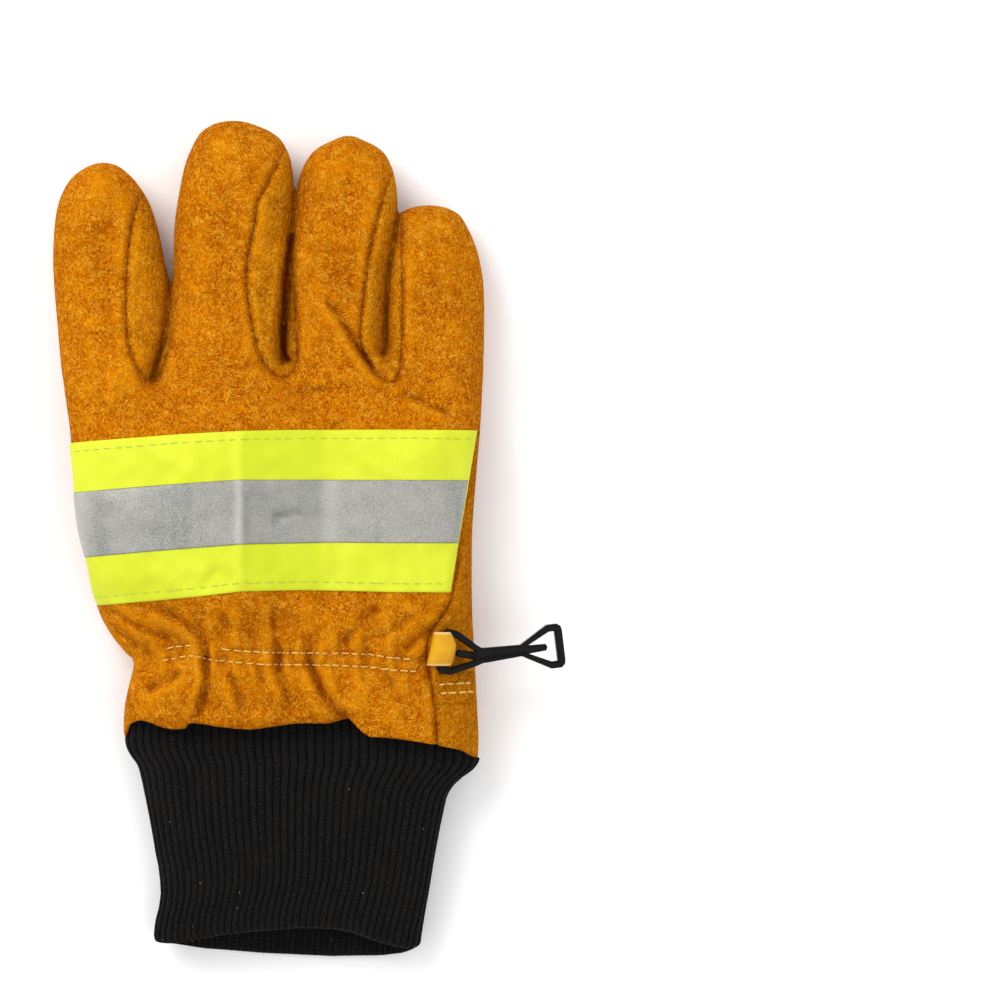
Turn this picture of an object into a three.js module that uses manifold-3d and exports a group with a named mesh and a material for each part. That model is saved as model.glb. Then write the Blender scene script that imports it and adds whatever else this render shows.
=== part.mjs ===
// A right-hand firefighter glove, lying on its palm with the thumb folded under it.
//
// Padded split leather in several panels, a lime band with a silver stripe over the back,
// a knitted wrist, and a plastic clip held in a leather loop on the little finger's side.
// Millimetres. +Y points to the fingertips, +X to the little finger, +Z up from the table.
// The origin is on the table, under the middle of the palm.

import * as THREE from 'three';
import { mergeVertices } from 'three/addons/utils/BufferGeometryUtils.js';
import Module from 'manifold-3d';

const wasm = await Module();
wasm.setup();

// Driving dimensions of the hand
const hand_width = 131;
const hand_length = 114;
const back_height = 29;
const thumb_side_height = 36.5;
const crotch_line = 42;
const root_overlap = 14;
const knuckle_end = 12;

// Driving dimensions of the leather, its thumb and its hem
const leather_wall = 2.6;
const piece_gap = 0.3;
const finger_gap = 0.6;
const thumb_length = 67;
const thumb_width = 37;
const thumb_depth = 16.2;
const hem_drop = 12;
const hem_margin = 16;

// Driving dimensions of the knitted wrist
const cuff_length = 76;
const cuff_width = 88;
const cuff_height = 22;
const cuff_tuck = 16;
const knit_wall = 2.6;
const rib_count = 72;
const rib_depth = 0.8;
const mouth_slope = 10.5;

// Driving dimensions of the band over the back
const band_width = 50;
const band_top = 26.5;
const band_thickness = 0.8;
const band_sag = 4.3;
const stripe_width = 20;
const stripe_thickness = 0.5;

// Driving dimensions of the hanging loop, its patch and the clip
const loop_width = 9.6;
const loop_wall = 1.4;
const loop_reach = 7.8;
const loop_from_wrist = 29.5;
const loop_inset = 10.2;
const loop_seat = 0.4;
const patch_length = 14.2;
const patch_width = 9.8;
const patch_thickness = 1.2;
const patch_step = 1.6;
const clip_length = 39.4;
const clip_eye_length = 12.5;
const clip_thickness = 2.8;
const clip_bar = 2.4;
const clip_arm = 1.7;
const clip_body_width = 4.4;
const clip_tongue_length = 5.4;
const clip_tongue_width = 1.9;
const clip_tongue_taper = 0.2;
const clip_bevel = 0.5;
const clip_droop_degrees = 12;

// How finely the soft forms are faceted
const hand_facets = { rings: 14, top: 22, low: 9 };
const hollow_facets = { rings: 8, top: 15, low: 9 };
const finger_facets = 12;
const finger_hollow_facets = 8;
const thumb_facets = 12;

const half_width = hand_width / 2;
const wrist_line = crotch_line - hand_length;
const hem_line = wrist_line + 0.6 * hem_drop;
const loop_place = wrist_line + loop_from_wrist;

// Bodies that only cut run on past what they cut: by overrun along the glove, and from under the
// table to the sky.
const overrun = 8;
const under = -2;
const sky = 2 * thumb_side_height;

// Fingers. Along runs from the crotch line (0) to the tip (1); drift and breadth are shares of the
// width; seam columns give how far out from the middle the side panel's seam runs (1 is the edge).
const fingers = {
  index: {
    length: 67.5,
    width: 36.3,
    depth: 24,
    root: -0.765,
    lift: 14,
    rows: [
      { along: -0.21, drift: 0.045, breadth: 0.78, right_seam: 0.94 },
      { along: 0.0, drift: 0.0, breadth: 0.78, right_seam: 0.94 },
      { along: 0.06, drift: 0.01, breadth: 0.82, right_seam: 0.68 },
      { along: 0.2, drift: 0.025, breadth: 0.9, right_seam: 0.42 },
      { along: 0.4, drift: 0.024, breadth: 0.985, right_seam: 0.3 },
      { along: 0.55, drift: 0.01, breadth: 1.0, right_seam: 0.36 },
      { along: 0.7, drift: -0.013, breadth: 0.925, right_seam: 0.49 },
      { along: 0.82, drift: -0.036, breadth: 0.815, right_seam: 0.78 },
      { along: 0.9, drift: -0.045, breadth: 0.68, right_seam: 0.96 },
      { along: 0.96, drift: -0.049, breadth: 0.51, right_seam: 1.0 },
      { along: 1.0, drift: -0.047, breadth: 0.24, right_seam: 1.0 },
    ],
  },
  middle: {
    length: 80.6,
    width: 36.9,
    depth: 25,
    root: -0.236,
    lift: 5,
    rows: [
      { along: 0.0, drift: 0.0, breadth: 1.1, left_seam: 0.9, right_seam: 0.95 },
      { along: 0.05, drift: 0.005, breadth: 1.06, left_seam: 0.91, right_seam: 0.79 },
      { along: 0.15, drift: 0.025, breadth: 1.0, left_seam: 0.93, right_seam: 0.58 },
      { along: 0.35, drift: 0.085, breadth: 0.98, left_seam: 0.95, right_seam: 0.34 },
      { along: 0.6, drift: 0.115, breadth: 1.0, left_seam: 0.97, right_seam: 0.38 },
      { along: 0.75, drift: 0.145, breadth: 0.965, left_seam: 0.97, right_seam: 0.52 },
      { along: 0.86, drift: 0.16, breadth: 0.885, left_seam: 0.98, right_seam: 0.82 },
      { along: 0.93, drift: 0.167, breadth: 0.745, left_seam: 1.0, right_seam: 0.97 },
      { along: 0.97, drift: 0.15, breadth: 0.56, left_seam: 1.0, right_seam: 1.0 },
      { along: 1.0, drift: 0.125, breadth: 0.26, left_seam: 1.0, right_seam: 1.0 },
    ],
  },
  ring: {
    length: 76,
    width: 32.2,
    depth: 24,
    root: 0.336,
    lift: 0,
    rows: [
      { along: 0.0, drift: 0.0, breadth: 1.06, left_seam: 0.75, right_seam: 0.8 },
      { along: 0.1, drift: -0.035, breadth: 1.02, left_seam: 0.6, right_seam: 0.6 },
      { along: 0.3, drift: -0.025, breadth: 0.97, left_seam: 0.78, right_seam: 0.54 },
      { along: 0.52, drift: 0.015, breadth: 1.0, left_seam: 0.91, right_seam: 0.59 },
      { along: 0.72, drift: 0.073, breadth: 0.99, left_seam: 0.97, right_seam: 0.7 },
      { along: 0.85, drift: 0.078, breadth: 0.92, left_seam: 0.99, right_seam: 0.91 },
      { along: 0.92, drift: 0.085, breadth: 0.78, left_seam: 1.0, right_seam: 1.0 },
      { along: 0.965, drift: 0.09, breadth: 0.59, left_seam: 1.0, right_seam: 1.0 },
      { along: 1.0, drift: 0.09, breadth: 0.24, left_seam: 1.0, right_seam: 1.0 },
    ],
  },
  little: {
    length: 54.2,
    width: 31,
    depth: 22,
    root: 0.805,
    lift: 0,
    rows: [
      { along: -0.26, drift: -0.03, breadth: 0.91, left_seam: 0.9 },
      { along: 0.0, drift: 0.0, breadth: 0.93, left_seam: 0.9 },
      { along: 0.16, drift: -0.025, breadth: 1.0, left_seam: 0.68 },
      { along: 0.4, drift: -0.02, breadth: 1.0, left_seam: 0.65 },
      { along: 0.58, drift: -0.02, breadth: 0.975, left_seam: 0.67 },
      { along: 0.73, drift: -0.025, breadth: 0.89, left_seam: 0.77 },
      { along: 0.84, drift: -0.035, breadth: 0.775, left_seam: 0.86 },
      { along: 0.92, drift: -0.06, breadth: 0.68, left_seam: 0.94 },
      { along: 0.965, drift: -0.08, breadth: 0.57, left_seam: 1.0 },
      { along: 1.0, drift: -0.085, breadth: 0.3, left_seam: 1.0 },
    ],
  },
};

// Slits between neighbouring fingers. Up is a share of the middle finger's length above the crotch
// line, across a share of half the hand's width; web is the side panel's bend round the slit's end.
const slits = [
  {
    web: { left: 2.4, right: 2.0, drop: 2.2, shift: -0.4 },
    rows: [
      { up: 0.006, across: -0.547 },
      { up: 0.18, across: -0.5 },
      { up: 0.36, across: -0.471 },
      { up: 0.5, across: -0.476 },
      { up: 0.66, across: -0.503 },
      { up: 1.1, across: -0.56 },
    ],
  },
  {
    web: { left: 6.0, right: 4.8, drop: 5.2, shift: 0 },
    rows: [
      { up: 0.07, across: 0.066 },
      { up: 0.24, across: 0.067 },
      { up: 0.4, across: 0.095 },
      { up: 0.63, across: 0.114 },
      { up: 0.78, across: 0.131 },
      { up: 1.1, across: 0.155 },
    ],
  },
  {
    web: { left: 7.5, right: 5.0, drop: 9.4, shift: 2.5 },
    rows: [
      { up: 0.12, across: 0.558 },
      { up: 0.29, across: 0.5625 },
      { up: 0.4, across: 0.57 },
      { up: 0.52, across: 0.59 },
      { up: 0.74, across: 0.628 },
      { up: 1.1, across: 0.645 },
    ],
  },
];

// The hand from the knuckles (down is 0 at the crotch line) to past the hem (1). Left and right are
// shares of half the width, crowns of the back's and the thumb side's heights, edges the heights of
// the widest points as shares of the back's height, lift the raised palm over the folded thumb.
const hand_rows = [
  { down: -0.105, left: 0.985, right: 1.03, left_crown: 0.5, right_crown: 0.55, left_edge: 0.58, right_edge: 0.4, lift: 0.32 },
  { down: -0.06, left: 0.98, right: 1.028, left_crown: 0.72, right_crown: 0.78, left_edge: 0.64, right_edge: 0.41, lift: 0.5 },
  { down: 0.0, left: 0.975, right: 1.024, left_crown: 0.84, right_crown: 0.88, left_edge: 0.72, right_edge: 0.42, lift: 0.75 },
  { down: 0.1, left: 0.958, right: 1.016, left_crown: 0.93, right_crown: 0.96, left_edge: 0.84, right_edge: 0.44, lift: 1.0 },
  { down: 0.25, left: 0.932, right: 0.995, left_crown: 1.0, right_crown: 1.0, left_edge: 0.92, right_edge: 0.46, lift: 1.0 },
  { down: 0.4, left: 0.898, right: 0.975, left_crown: 1.0, right_crown: 1.01, left_edge: 0.92, right_edge: 0.46, lift: 1.0 },
  { down: 0.5, left: 0.868, right: 0.972, left_crown: 0.97, right_crown: 1.0, left_edge: 0.8, right_edge: 0.46, lift: 0.72 },
  { down: 0.574, left: 0.848, right: 0.972, left_crown: 0.92, right_crown: 0.99, left_edge: 0.64, right_edge: 0.45, lift: 0.35 },
  { down: 0.65, left: 0.79, right: 0.975, left_crown: 0.84, right_crown: 0.96, left_edge: 0.5, right_edge: 0.44, lift: 0.08 },
  { down: 0.72, left: 0.722, right: 0.982, left_crown: 0.76, right_crown: 0.91, left_edge: 0.44, right_edge: 0.42, lift: 0.0 },
  { down: 0.766, left: 0.645, right: 0.986, left_crown: 0.72, right_crown: 0.88, left_edge: 0.42, right_edge: 0.41, lift: 0.0 },
  { down: 0.81, left: 0.655, right: 0.99, left_crown: 0.72, right_crown: 0.89, left_edge: 0.42, right_edge: 0.41, lift: 0.0 },
  { down: 0.9, left: 0.69, right: 0.998, left_crown: 0.73, right_crown: 0.92, left_edge: 0.42, right_edge: 0.42, lift: 0.0 },
  { down: 1.0, left: 0.69, right: 1.004, left_crown: 0.72, right_crown: 0.92, left_edge: 0.42, right_edge: 0.42, lift: 0.0 },
  { down: 1.12, left: 0.66, right: 0.99, left_crown: 0.7, right_crown: 0.9, left_edge: 0.42, right_edge: 0.42, lift: 0.0 },
];

// Gathers and creases of the back: across and down as in the hand's table, drift is how far across
// a fold moves over its length, reach its half length as a share of the hand's length, depth and
// width in millimetres. A negative depth is a crease.
const folds = [
  { across: -0.6, down: 0.68, drift: 0.28, reach: 0.1, depth: -2.0, width: 3.4 },
  { across: -0.47, down: 0.74, drift: 0.1, reach: 0.12, depth: 1.4, width: 5.0 },
  { across: -0.25, down: 0.8, drift: -0.08, reach: 0.17, depth: -3.0, width: 3.6 },
  { across: -0.08, down: 0.8, drift: 0.0, reach: 0.16, depth: 1.6, width: 4.6 },
  { across: 0.05, down: 0.83, drift: 0.03, reach: 0.15, depth: -1.6, width: 3.4 },
  { across: 0.17, down: 0.8, drift: 0.02, reach: 0.16, depth: 1.3, width: 4.2 },
  { across: 0.27, down: 0.86, drift: 0.05, reach: 0.12, depth: -2.2, width: 3.4 },
  { across: 0.46, down: 0.86, drift: -0.1, reach: 0.16, depth: 1.8, width: 7.0 },
  { across: 0.4, down: 0.68, drift: -0.2, reach: 0.1, depth: -1.3, width: 4.0 },
  { across: 0.62, down: 0.74, drift: -0.18, reach: 0.09, depth: -1.5, width: 3.6 },
];

// The little finger side's strip: in is how far its seam runs in from the edge of the hand.
const gusset_rows = [
  { down: 0.13, in: 0.8 },
  { down: 0.35, in: 2.4 },
  { down: 0.58, in: 6.0 },
  { down: 0.69, in: 10.3 },
  { down: 0.76, in: 14.0 },
  { down: 0.81, in: 16.0 },
  { down: 0.88, in: 15.0 },
  { down: 1.1, in: 13.0 },
];
const gusset_core = 30;
const gusset_low = 1;

// The hem over the knit: across as above, drop as a share of the deepest point.
const hem_rows = [
  { across: -1.0, drop: 0.62 },
  { across: -0.68, drop: 0.6 },
  { across: -0.63, drop: 0.15 },
  { across: -0.56, drop: 0.06 },
  { across: -0.48, drop: 0.28 },
  { across: -0.375, drop: 0.28 },
  { across: -0.35, drop: 0.06 },
  { across: -0.25, drop: 0.06 },
  { across: -0.04, drop: 0.3 },
  { across: 0.15, drop: 0.12 },
  { across: 0.37, drop: 0.0 },
  { across: 0.42, drop: 0.08 },
  { across: 0.49, drop: 0.4 },
  { across: 0.63, drop: 0.56 },
  { across: 0.82, drop: 0.68 },
  { across: 0.94, drop: 0.85 },
  { across: 1.05, drop: 1.0 },
];

// The folded thumb: along runs from its root in the palm (0) to its tip (1).
const thumb_rows = [
  { along: -0.1, breadth: 0.3, thickness: 0.35, rise: 0.35 },
  { along: 0.0, breadth: 0.62, thickness: 0.62, rise: 0.12 },
  { along: 0.12, breadth: 0.86, thickness: 0.86, rise: 0.0 },
  { along: 0.3, breadth: 1.0, thickness: 1.0, rise: 0.0 },
  { along: 0.6, breadth: 0.98, thickness: 1.0, rise: 0.0 },
  { along: 0.8, breadth: 0.86, thickness: 0.94, rise: 0.0 },
  { along: 0.92, breadth: 0.64, thickness: 0.78, rise: 0.0 },
  { along: 0.98, breadth: 0.4, thickness: 0.5, rise: 0.0 },
  { along: 1.0, breadth: 0.2, thickness: 0.25, rise: 0.08 },
];
const thumb_root = -38;
const thumb_across = -0.58;

// The knitted wrist from its tucked end (0) to its mouth (1): middle and breadth are shares of its
// width, thickness of its height, floor is how high its underside lies.
const cuff_rows = [
  { along: 0.0, middle: 0.0, breadth: 1.08, thickness: 0.8, floor: 3.2 },
  { along: 0.27, middle: 0.015, breadth: 1.13, thickness: 0.88, floor: 2.9 },
  { along: 0.36, middle: 0.0, breadth: 1.07, thickness: 0.96, floor: 0.8 },
  { along: 0.6, middle: -0.01, breadth: 1.01, thickness: 1.0, floor: 0.0 },
  { along: 0.91, middle: -0.033, breadth: 0.945, thickness: 1.0, floor: 0.0 },
  { along: 1.0, middle: -0.04, breadth: 0.94, thickness: 0.98, floor: 0.0 },
];
const cuff_across = 8.6;

// Finishes
const suede = new THREE.MeshStandardMaterial({ color: 0xcd760b, roughness: 0.95, metalness: 0 });
const lime = new THREE.MeshStandardMaterial({ color: 0xedf540, roughness: 0.55, metalness: 0 });
const silver = new THREE.MeshStandardMaterial({ color: 0xbfbfb8, roughness: 0.42, metalness: 0.35 });
const knit = new THREE.MeshStandardMaterial({ color: 0x171717, roughness: 0.92, metalness: 0 });
const yellow_leather = new THREE.MeshStandardMaterial({ color: 0xe9b222, roughness: 0.6, metalness: 0 });
const black_plastic = new THREE.MeshStandardMaterial({ color: 0x232323, roughness: 0.38, metalness: 0 });

// Smooth value of one column of a table, between its rows.
function read(rows, column, at, order = 'along') {
  let k = 0;
  while (k < rows.length - 2 && rows[k + 1][order] < at) k += 1;
  const a = rows[k];
  const b = rows[k + 1];
  const before = rows[Math.max(0, k - 1)];
  const after = rows[Math.min(rows.length - 1, k + 2)];
  const span = b[order] - a[order];
  const share = Math.min(1, Math.max(0, (at - a[order]) / span));
  const start = ((b[column] - before[column]) / (b[order] - before[order])) * span;
  const end = ((after[column] - a[column]) / (after[order] - a[order])) * span;
  const square = share * share;
  const cube = square * share;
  return (2 * cube - 3 * square + 1) * a[column] + (cube - 2 * square + share) * start
    + (3 * square - 2 * cube) * b[column] + (cube - square) * end;
}

function smooth_step(low, high, value) {
  const share = Math.min(1, Math.max(0, (value - low) / (high - low)));
  return share * share * (3 - 2 * share);
}

function signed_volume(positions, triangles) {
  const corner = (k) => new THREE.Vector3().fromArray(positions, 3 * triangles[k]);
  let sum = 0;
  for (let k = 0; k < triangles.length; k += 3) {
    sum += corner(k).dot(corner(k + 1).cross(corner(k + 2))) / 6;
  }
  return sum;
}

function solid_of(positions, triangles) {
  if (signed_volume(positions, triangles) < 0) triangles.reverse();
  const mesh = new wasm.Mesh({
    numProp: 3,
    vertProperties: new Float32Array(positions),
    triVerts: new Uint32Array(triangles),
  });
  return new wasm.Manifold(mesh);
}

function solid_from_geometry(geometry) {
  const bare = geometry.clone();
  bare.deleteAttribute('normal');
  bare.deleteAttribute('uv');
  const merged = mergeVertices(bare, 1e-5);
  return solid_of(merged.attributes.position.array, merged.index.array);
}

// A closed body through rings of equal length, each a list of Vector3, with a flat cap at each end.
function loft(rings) {
  const size = rings[0].length;
  const positions = [];
  const triangles = [];
  for (const ring of rings) {
    for (const point of ring) positions.push(point.x, point.y, point.z);
  }
  for (let r = 0; r + 1 < rings.length; r += 1) {
    for (let k = 0; k < size; k += 1) {
      const next = (k + 1) % size;
      const a = r * size + k;
      const b = r * size + next;
      triangles.push(a, b, a + size, b, b + size, a + size);
    }
  }
  for (const [r, forward] of [[0, false], [rings.length - 1, true]]) {
    const centre = new THREE.Vector3();
    for (const point of rings[r]) centre.add(point);
    centre.divideScalar(size);
    positions.push(centre.x, centre.y, centre.z);
    const hub = positions.length / 3 - 1;
    for (let k = 0; k < size; k += 1) {
      const a = r * size + k;
      const b = r * size + ((k + 1) % size);
      if (forward) triangles.push(a, b, hub);
      else triangles.push(b, a, hub);
    }
  }
  return solid_of(positions, triangles);
}

// Moves each point of a ring that lies in one plane across Y outward by a distance.
function grow_ring(ring, distance) {
  const size = ring.length;
  return ring.map((point, k) => {
    const before = ring[(k + size - 1) % size];
    const after = ring[(k + 1) % size];
    const along = after.clone().sub(before).normalize();
    return new THREE.Vector3(point.x + along.z * distance, point.y, point.z - along.x * distance);
  });
}

// An upright prism over a plan outline given as [x, y] pairs.
function column(outline, low, high) {
  const shape = new THREE.Shape(outline.map(([x, y]) => new THREE.Vector2(x, y)));
  const geometry = new THREE.ExtrudeGeometry(shape, { depth: high - low, bevelEnabled: false });
  geometry.translate(0, 0, low);
  return solid_from_geometry(geometry);
}

function main_body(solid) {
  const bodies = solid.decompose();
  return bodies.reduce((best, body) => (body.volume() > best.volume() ? body : best));
}

// Superellipse point, squarer than an ellipse.
function rounded(angle, power) {
  const c = Math.cos(angle);
  const s = Math.sin(angle);
  return [
    Math.sign(c) * Math.abs(c) ** (2 / power),
    Math.sign(s) * Math.abs(s) ** (2 / power),
  ];
}

// Where one finger's cross-section lies at a share of its length.
const finger_power = 2.3;
const finger_sink = 0.07;
const root_taper = 0.8;
function finger_section(finger, along) {
  const breadth = read(finger.rows, 'breadth', along);
  const tip_share = smooth_step(0.72, 1.0, along);
  const thickness = 1 - (1 - Math.min(1, breadth * 1.1)) * tip_share;
  const lift = finger.lift * (1 - smooth_step(-0.3, 0.5, along));
  return {
    y: crotch_line + along * finger.length,
    x: finger.root * half_width + read(finger.rows, 'drift', along) * finger.width,
    half: (finger.width * breadth) / 2,
    rise: (finger.depth * thickness) / 2,
    floor: lift,
    z: lift + finger.depth * (0.5 - finger_sink),
  };
}

// One finger's body, drawn in from its outer surface by an inset.
function finger_body(finger, inset, rounds, places) {
  const first = -root_overlap / finger.length;
  const rings = places.map((place) => {
    const along = first + (1 - first) * place;
    const section = finger_section(finger, along);
    const start = place > 0 ? 1 : root_taper;
    const share = (section.y - crotch_line + root_overlap) / (finger.length + root_overlap);
    const ring = [];
    for (let k = 0; k < rounds; k += 1) {
      const [across, up] = rounded((2 * Math.PI * (k + 0.5)) / rounds, finger_power);
      const x = section.x + across * Math.max(1, section.half * start - inset);
      const z = section.z + up * Math.max(1, section.rise * start - inset);
      ring.push(new THREE.Vector3(x, section.y - inset * share, Math.max(z, section.floor + inset)));
    }
    return ring.reverse();
  });
  return loft(rings);
}
const finger_places = [0, 0.16, 0.33, 0.5, 0.68, 0.82, 0.91, 0.965, 1];
const hollow_places = [0, 0.33, 0.68, 0.88, 0.96, 1];

// The hand's own section at a height along the glove, drawn out or in from its outer surface.
const hand_power = 3.2;
const floor_sink = 1.6;
const over_thumb_ends = { full: -0.36, none: -0.1 };
function hand_section(y) {
  const down = (crotch_line - y) / hand_length;
  return {
    y,
    down,
    left: -read(hand_rows, 'left', down, 'down') * half_width,
    right: read(hand_rows, 'right', down, 'down') * half_width,
    left_crown: read(hand_rows, 'left_crown', down, 'down') * thumb_side_height,
    right_crown: read(hand_rows, 'right_crown', down, 'down') * back_height,
    left_edge: read(hand_rows, 'left_edge', down, 'down') * back_height,
    right_edge: read(hand_rows, 'right_edge', down, 'down') * back_height,
    lift: read(hand_rows, 'lift', down, 'down') * (thumb_depth + piece_gap),
  };
}

function fold_height(x, down) {
  let sum = 0;
  for (const fold of folds) {
    const along = (down - fold.down) / fold.reach;
    const centre = (fold.across + fold.drift * along) * half_width;
    const away = (x - centre) / fold.width;
    sum += fold.depth * Math.exp(-away * away - along * along);
  }
  return sum;
}

function hand_top(section, x) {
  const u = (2 * (x - section.left)) / (section.right - section.left) - 1;
  const edge = section.left_edge + ((section.right_edge - section.left_edge) * (u + 1)) / 2;
  const turn = smooth_step(-0.55, 0.45, u);
  const crown = section.left_crown + (section.right_crown - section.left_crown) * turn;
  const swell = Math.sqrt(Math.max(0, 1 - Math.abs(u) ** hand_power));
  return edge + (crown - edge) * swell + fold_height(x, section.down) * swell;
}

function hand_bottom(section, x) {
  const u = (2 * (x - section.left)) / (section.right - section.left) - 1;
  const edge = section.left_edge + ((section.right_edge - section.left_edge) * (u + 1)) / 2;
  const over_thumb = 1 - smooth_step(over_thumb_ends.full, over_thumb_ends.none, x / half_width);
  const floor = section.lift * over_thumb;
  const sink = floor_sink * (1 - over_thumb * Math.min(1, section.lift / thumb_depth));
  const swell = Math.sqrt(Math.max(0, 1 - Math.abs(u) ** hand_power));
  return Math.max(0, edge - (edge + sink - floor) * swell);
}

function hand_ring(y, grow, top_steps, low_steps) {
  const section = hand_section(y);
  const spread = (k, steps) => {
    const share = k / steps;
    return 0.62 * (2 * share - 1) - 0.38 * Math.cos(Math.PI * share);
  };
  const place = (u) => section.left + ((u + 1) / 2) * (section.right - section.left);
  const ring = [];
  for (let k = 0; k < top_steps; k += 1) {
    const x = place(spread(k, top_steps));
    ring.push(new THREE.Vector3(x, y, hand_top(section, x)));
  }
  for (let k = 0; k < low_steps; k += 1) {
    const x = place(-spread(k, low_steps));
    ring.push(new THREE.Vector3(x, y, hand_bottom(section, x)));
  }
  const grown = grow_ring(ring, -grow);
  if (grow < 0) {
    for (const point of grown) point.z = Math.max(point.z, -grow);
  }
  return grown;
}

const hand_start = crotch_line + knuckle_end;
const hand_end = crotch_line - hand_length - hem_drop;
function hand_body(grow, start, end, facets) {
  const list = [];
  for (let r = 0; r <= facets.rings; r += 1) {
    const y = start + ((end - start) * r) / facets.rings;
    list.push(hand_ring(y, grow, facets.top, facets.low));
  }
  return loft(list);
}

// A slit's middle line in plan.
function slit_x(slit, y) {
  const up = (y - crotch_line) / fingers.middle.length;
  return read(slit.rows, 'across', up, 'up') * half_width;
}

function slit_end(slit) {
  return crotch_line + slit.rows[0].up * fingers.middle.length;
}

const slit_top = crotch_line + 1.1 * fingers.middle.length;
function slit_sheet(slit, left, right, drop, steps = 5) {
  const low = slit_end(slit) - drop;
  const outline = [];
  for (let k = 0; k <= steps; k += 1) {
    const y = low + ((slit_top - low) * k) / steps;
    outline.push([slit_x(slit, y) + right, y]);
  }
  for (let k = steps; k >= 0; k -= 1) {
    const y = low + ((slit_top - low) * k) / steps;
    outline.push([slit_x(slit, y) - left, y]);
  }
  return column(outline, under, sky);
}

// A wedge that opens from an inner line to the surface, between two seams: the side panels' reach.
const fan_stretch = 1.7;
const fan_width = 0.92 * half_width;
function fan(stations) {
  const rings = stations.map(({ y, x, z, seam_x, top, low, spare }) => {
    const far = x + (seam_x - x) * fan_stretch;
    const reach = Math.max(fan_width, Math.abs(far - x) + overrun);
    const outer = x + Math.sign(seam_x - x) * reach;
    const high_z = z + (top - z) * fan_stretch + spare;
    const low_z = z + (low - z) * fan_stretch - spare;
    const points = [
      [x, z + spare],
      [far, high_z],
      [outer, high_z],
      [outer, low_z],
      [far, low_z],
      [x, z - spare],
    ];
    const ring = points.map(([px, pz]) => new THREE.Vector3(px, y, pz));
    return seam_x > x ? ring : ring.reverse();
  });
  return loft(rings);
}

const widest_seam = 0.96;
const fan_end = 0.93;
function finger_fan(finger, side, from_y, spare) {
  const stations = [];
  const steps = 6;
  const first = (from_y - crotch_line) / finger.length;
  for (let k = 0; k <= steps; k += 1) {
    const along = first + ((fan_end - first) * k) / steps;
    const section = finger_section(finger, along);
    const seam = Math.min(widest_seam, read(finger.rows, side > 0 ? 'right_seam' : 'left_seam', along));
    const height = section.rise * (1 - seam ** finger_power) ** (1 / finger_power);
    stations.push({
      y: section.y + spare * (k === steps ? 1 : 0),
      x: section.x,
      z: section.z,
      seam_x: section.x + side * seam * section.half,
      top: section.z + height,
      low: section.z - height,
      spare,
    });
  }
  return fan(stations);
}

function web_column(slit, spare) {
  const { left, right, drop, shift } = slit.web;
  const end_y = slit_end(slit);
  const end_x = slit_x(slit, end_y);
  const outline = [[end_x - left - spare, end_y + 1], [end_x + right + spare, end_y + 1]];
  const steps = 6;
  for (let k = 0; k <= steps; k += 1) {
    const angle = (Math.PI * k) / steps;
    const reach = Math.cos(angle) > 0 ? right : left;
    const x = end_x + Math.cos(angle) * (reach + spare) + shift * Math.sin(angle);
    outline.push([x, end_y - Math.sin(angle) * (drop + spare)]);
  }
  return column(outline.reverse(), under, sky);
}

const names = ['index', 'middle', 'ring', 'little'];
const tie = 0.1;
const leg_start = 0.5;
function side_region(k, spare) {
  const slit = slits[k];
  const start = slit_end(slit) - leg_start;
  const reach = fingers.middle.width;
  const left_leg = finger_fan(fingers[names[k]], 1, start, spare);
  const right_leg = finger_fan(fingers[names[k + 1]], -1, start, spare);
  return left_leg.intersect(slit_sheet(slit, reach, tie, 1))
    .add(right_leg.intersect(slit_sheet(slit, tie, reach, 1)))
    .add(web_column(slit, spare));
}

function gusset_region(spare) {
  const stations = [];
  const steps = 8;
  const first = gusset_rows[0].down;
  const last = (crotch_line - hand_end) / hand_length;
  for (let k = 0; k <= steps; k += 1) {
    const down = first + ((last - first) * k) / steps;
    const y = crotch_line - down * hand_length + (k === 0 ? spare : 0);
    const section = hand_section(y);
    const seam_x = section.right - read(gusset_rows, 'in', down, 'down');
    stations.push({
      y,
      x: section.right - gusset_core,
      z: section.right_edge,
      seam_x,
      top: hand_top(section, seam_x),
      low: Math.min(hand_bottom(section, seam_x), section.right_edge - gusset_low),
      spare,
    });
  }
  return fan(stations.reverse());
}

// Everything above the seam that joins back and palm round the edges.
const seam_settles = 0.45;
function upper_region(shift) {
  const rings = [];
  const far = hand_width;
  const steps = 12;
  const top_y = crotch_line + fingers.middle.length + overrun;
  const low_y = hand_end - overrun;
  for (let k = 0; k <= steps; k += 1) {
    const y = top_y + ((low_y - top_y) * k) / steps;
    const up = Math.max(0, (y - crotch_line) / fingers.middle.length);
    const section = hand_section(Math.min(y, crotch_line));
    const tip_z = fingers.index.depth * (0.5 - finger_sink);
    const settle = smooth_step(0, seam_settles, up);
    const left = section.left_edge + (tip_z - section.left_edge) * settle + shift;
    const right = section.right_edge + (tip_z - section.right_edge) * settle + shift;
    const slope = (right - left) / (2 * half_width);
    const middle = (left + right) / 2;
    rings.push([
      new THREE.Vector3(-far, y, middle - slope * far),
      new THREE.Vector3(-far, y, sky),
      new THREE.Vector3(far, y, sky),
      new THREE.Vector3(far, y, middle + slope * far),
    ]);
  }
  return loft(rings);
}

function thumb_body(inset, rounds) {
  const rings = thumb_rows.map((row) => {
    const length = thumb_length - inset;
    const ring = [];
    const rise = (thumb_depth * row.thickness) / 2;
    const z = thumb_depth * (row.rise + 0.47);
    const x = thumb_across * half_width;
    const y = thumb_root + row.along * length;
    for (let k = 0; k < rounds; k += 1) {
      const [across, up] = rounded((2 * Math.PI * (k + 0.5)) / rounds, finger_power);
      const point_x = x + across * Math.max(0.8, (thumb_width * row.breadth) / 2 - inset);
      const point_z = Math.max(z + up * Math.max(0.8, rise - inset), Math.max(0, inset));
      ring.push(new THREE.Vector3(point_x, y, point_z));
    }
    return ring.reverse();
  });
  return loft(rings);
}

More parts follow.
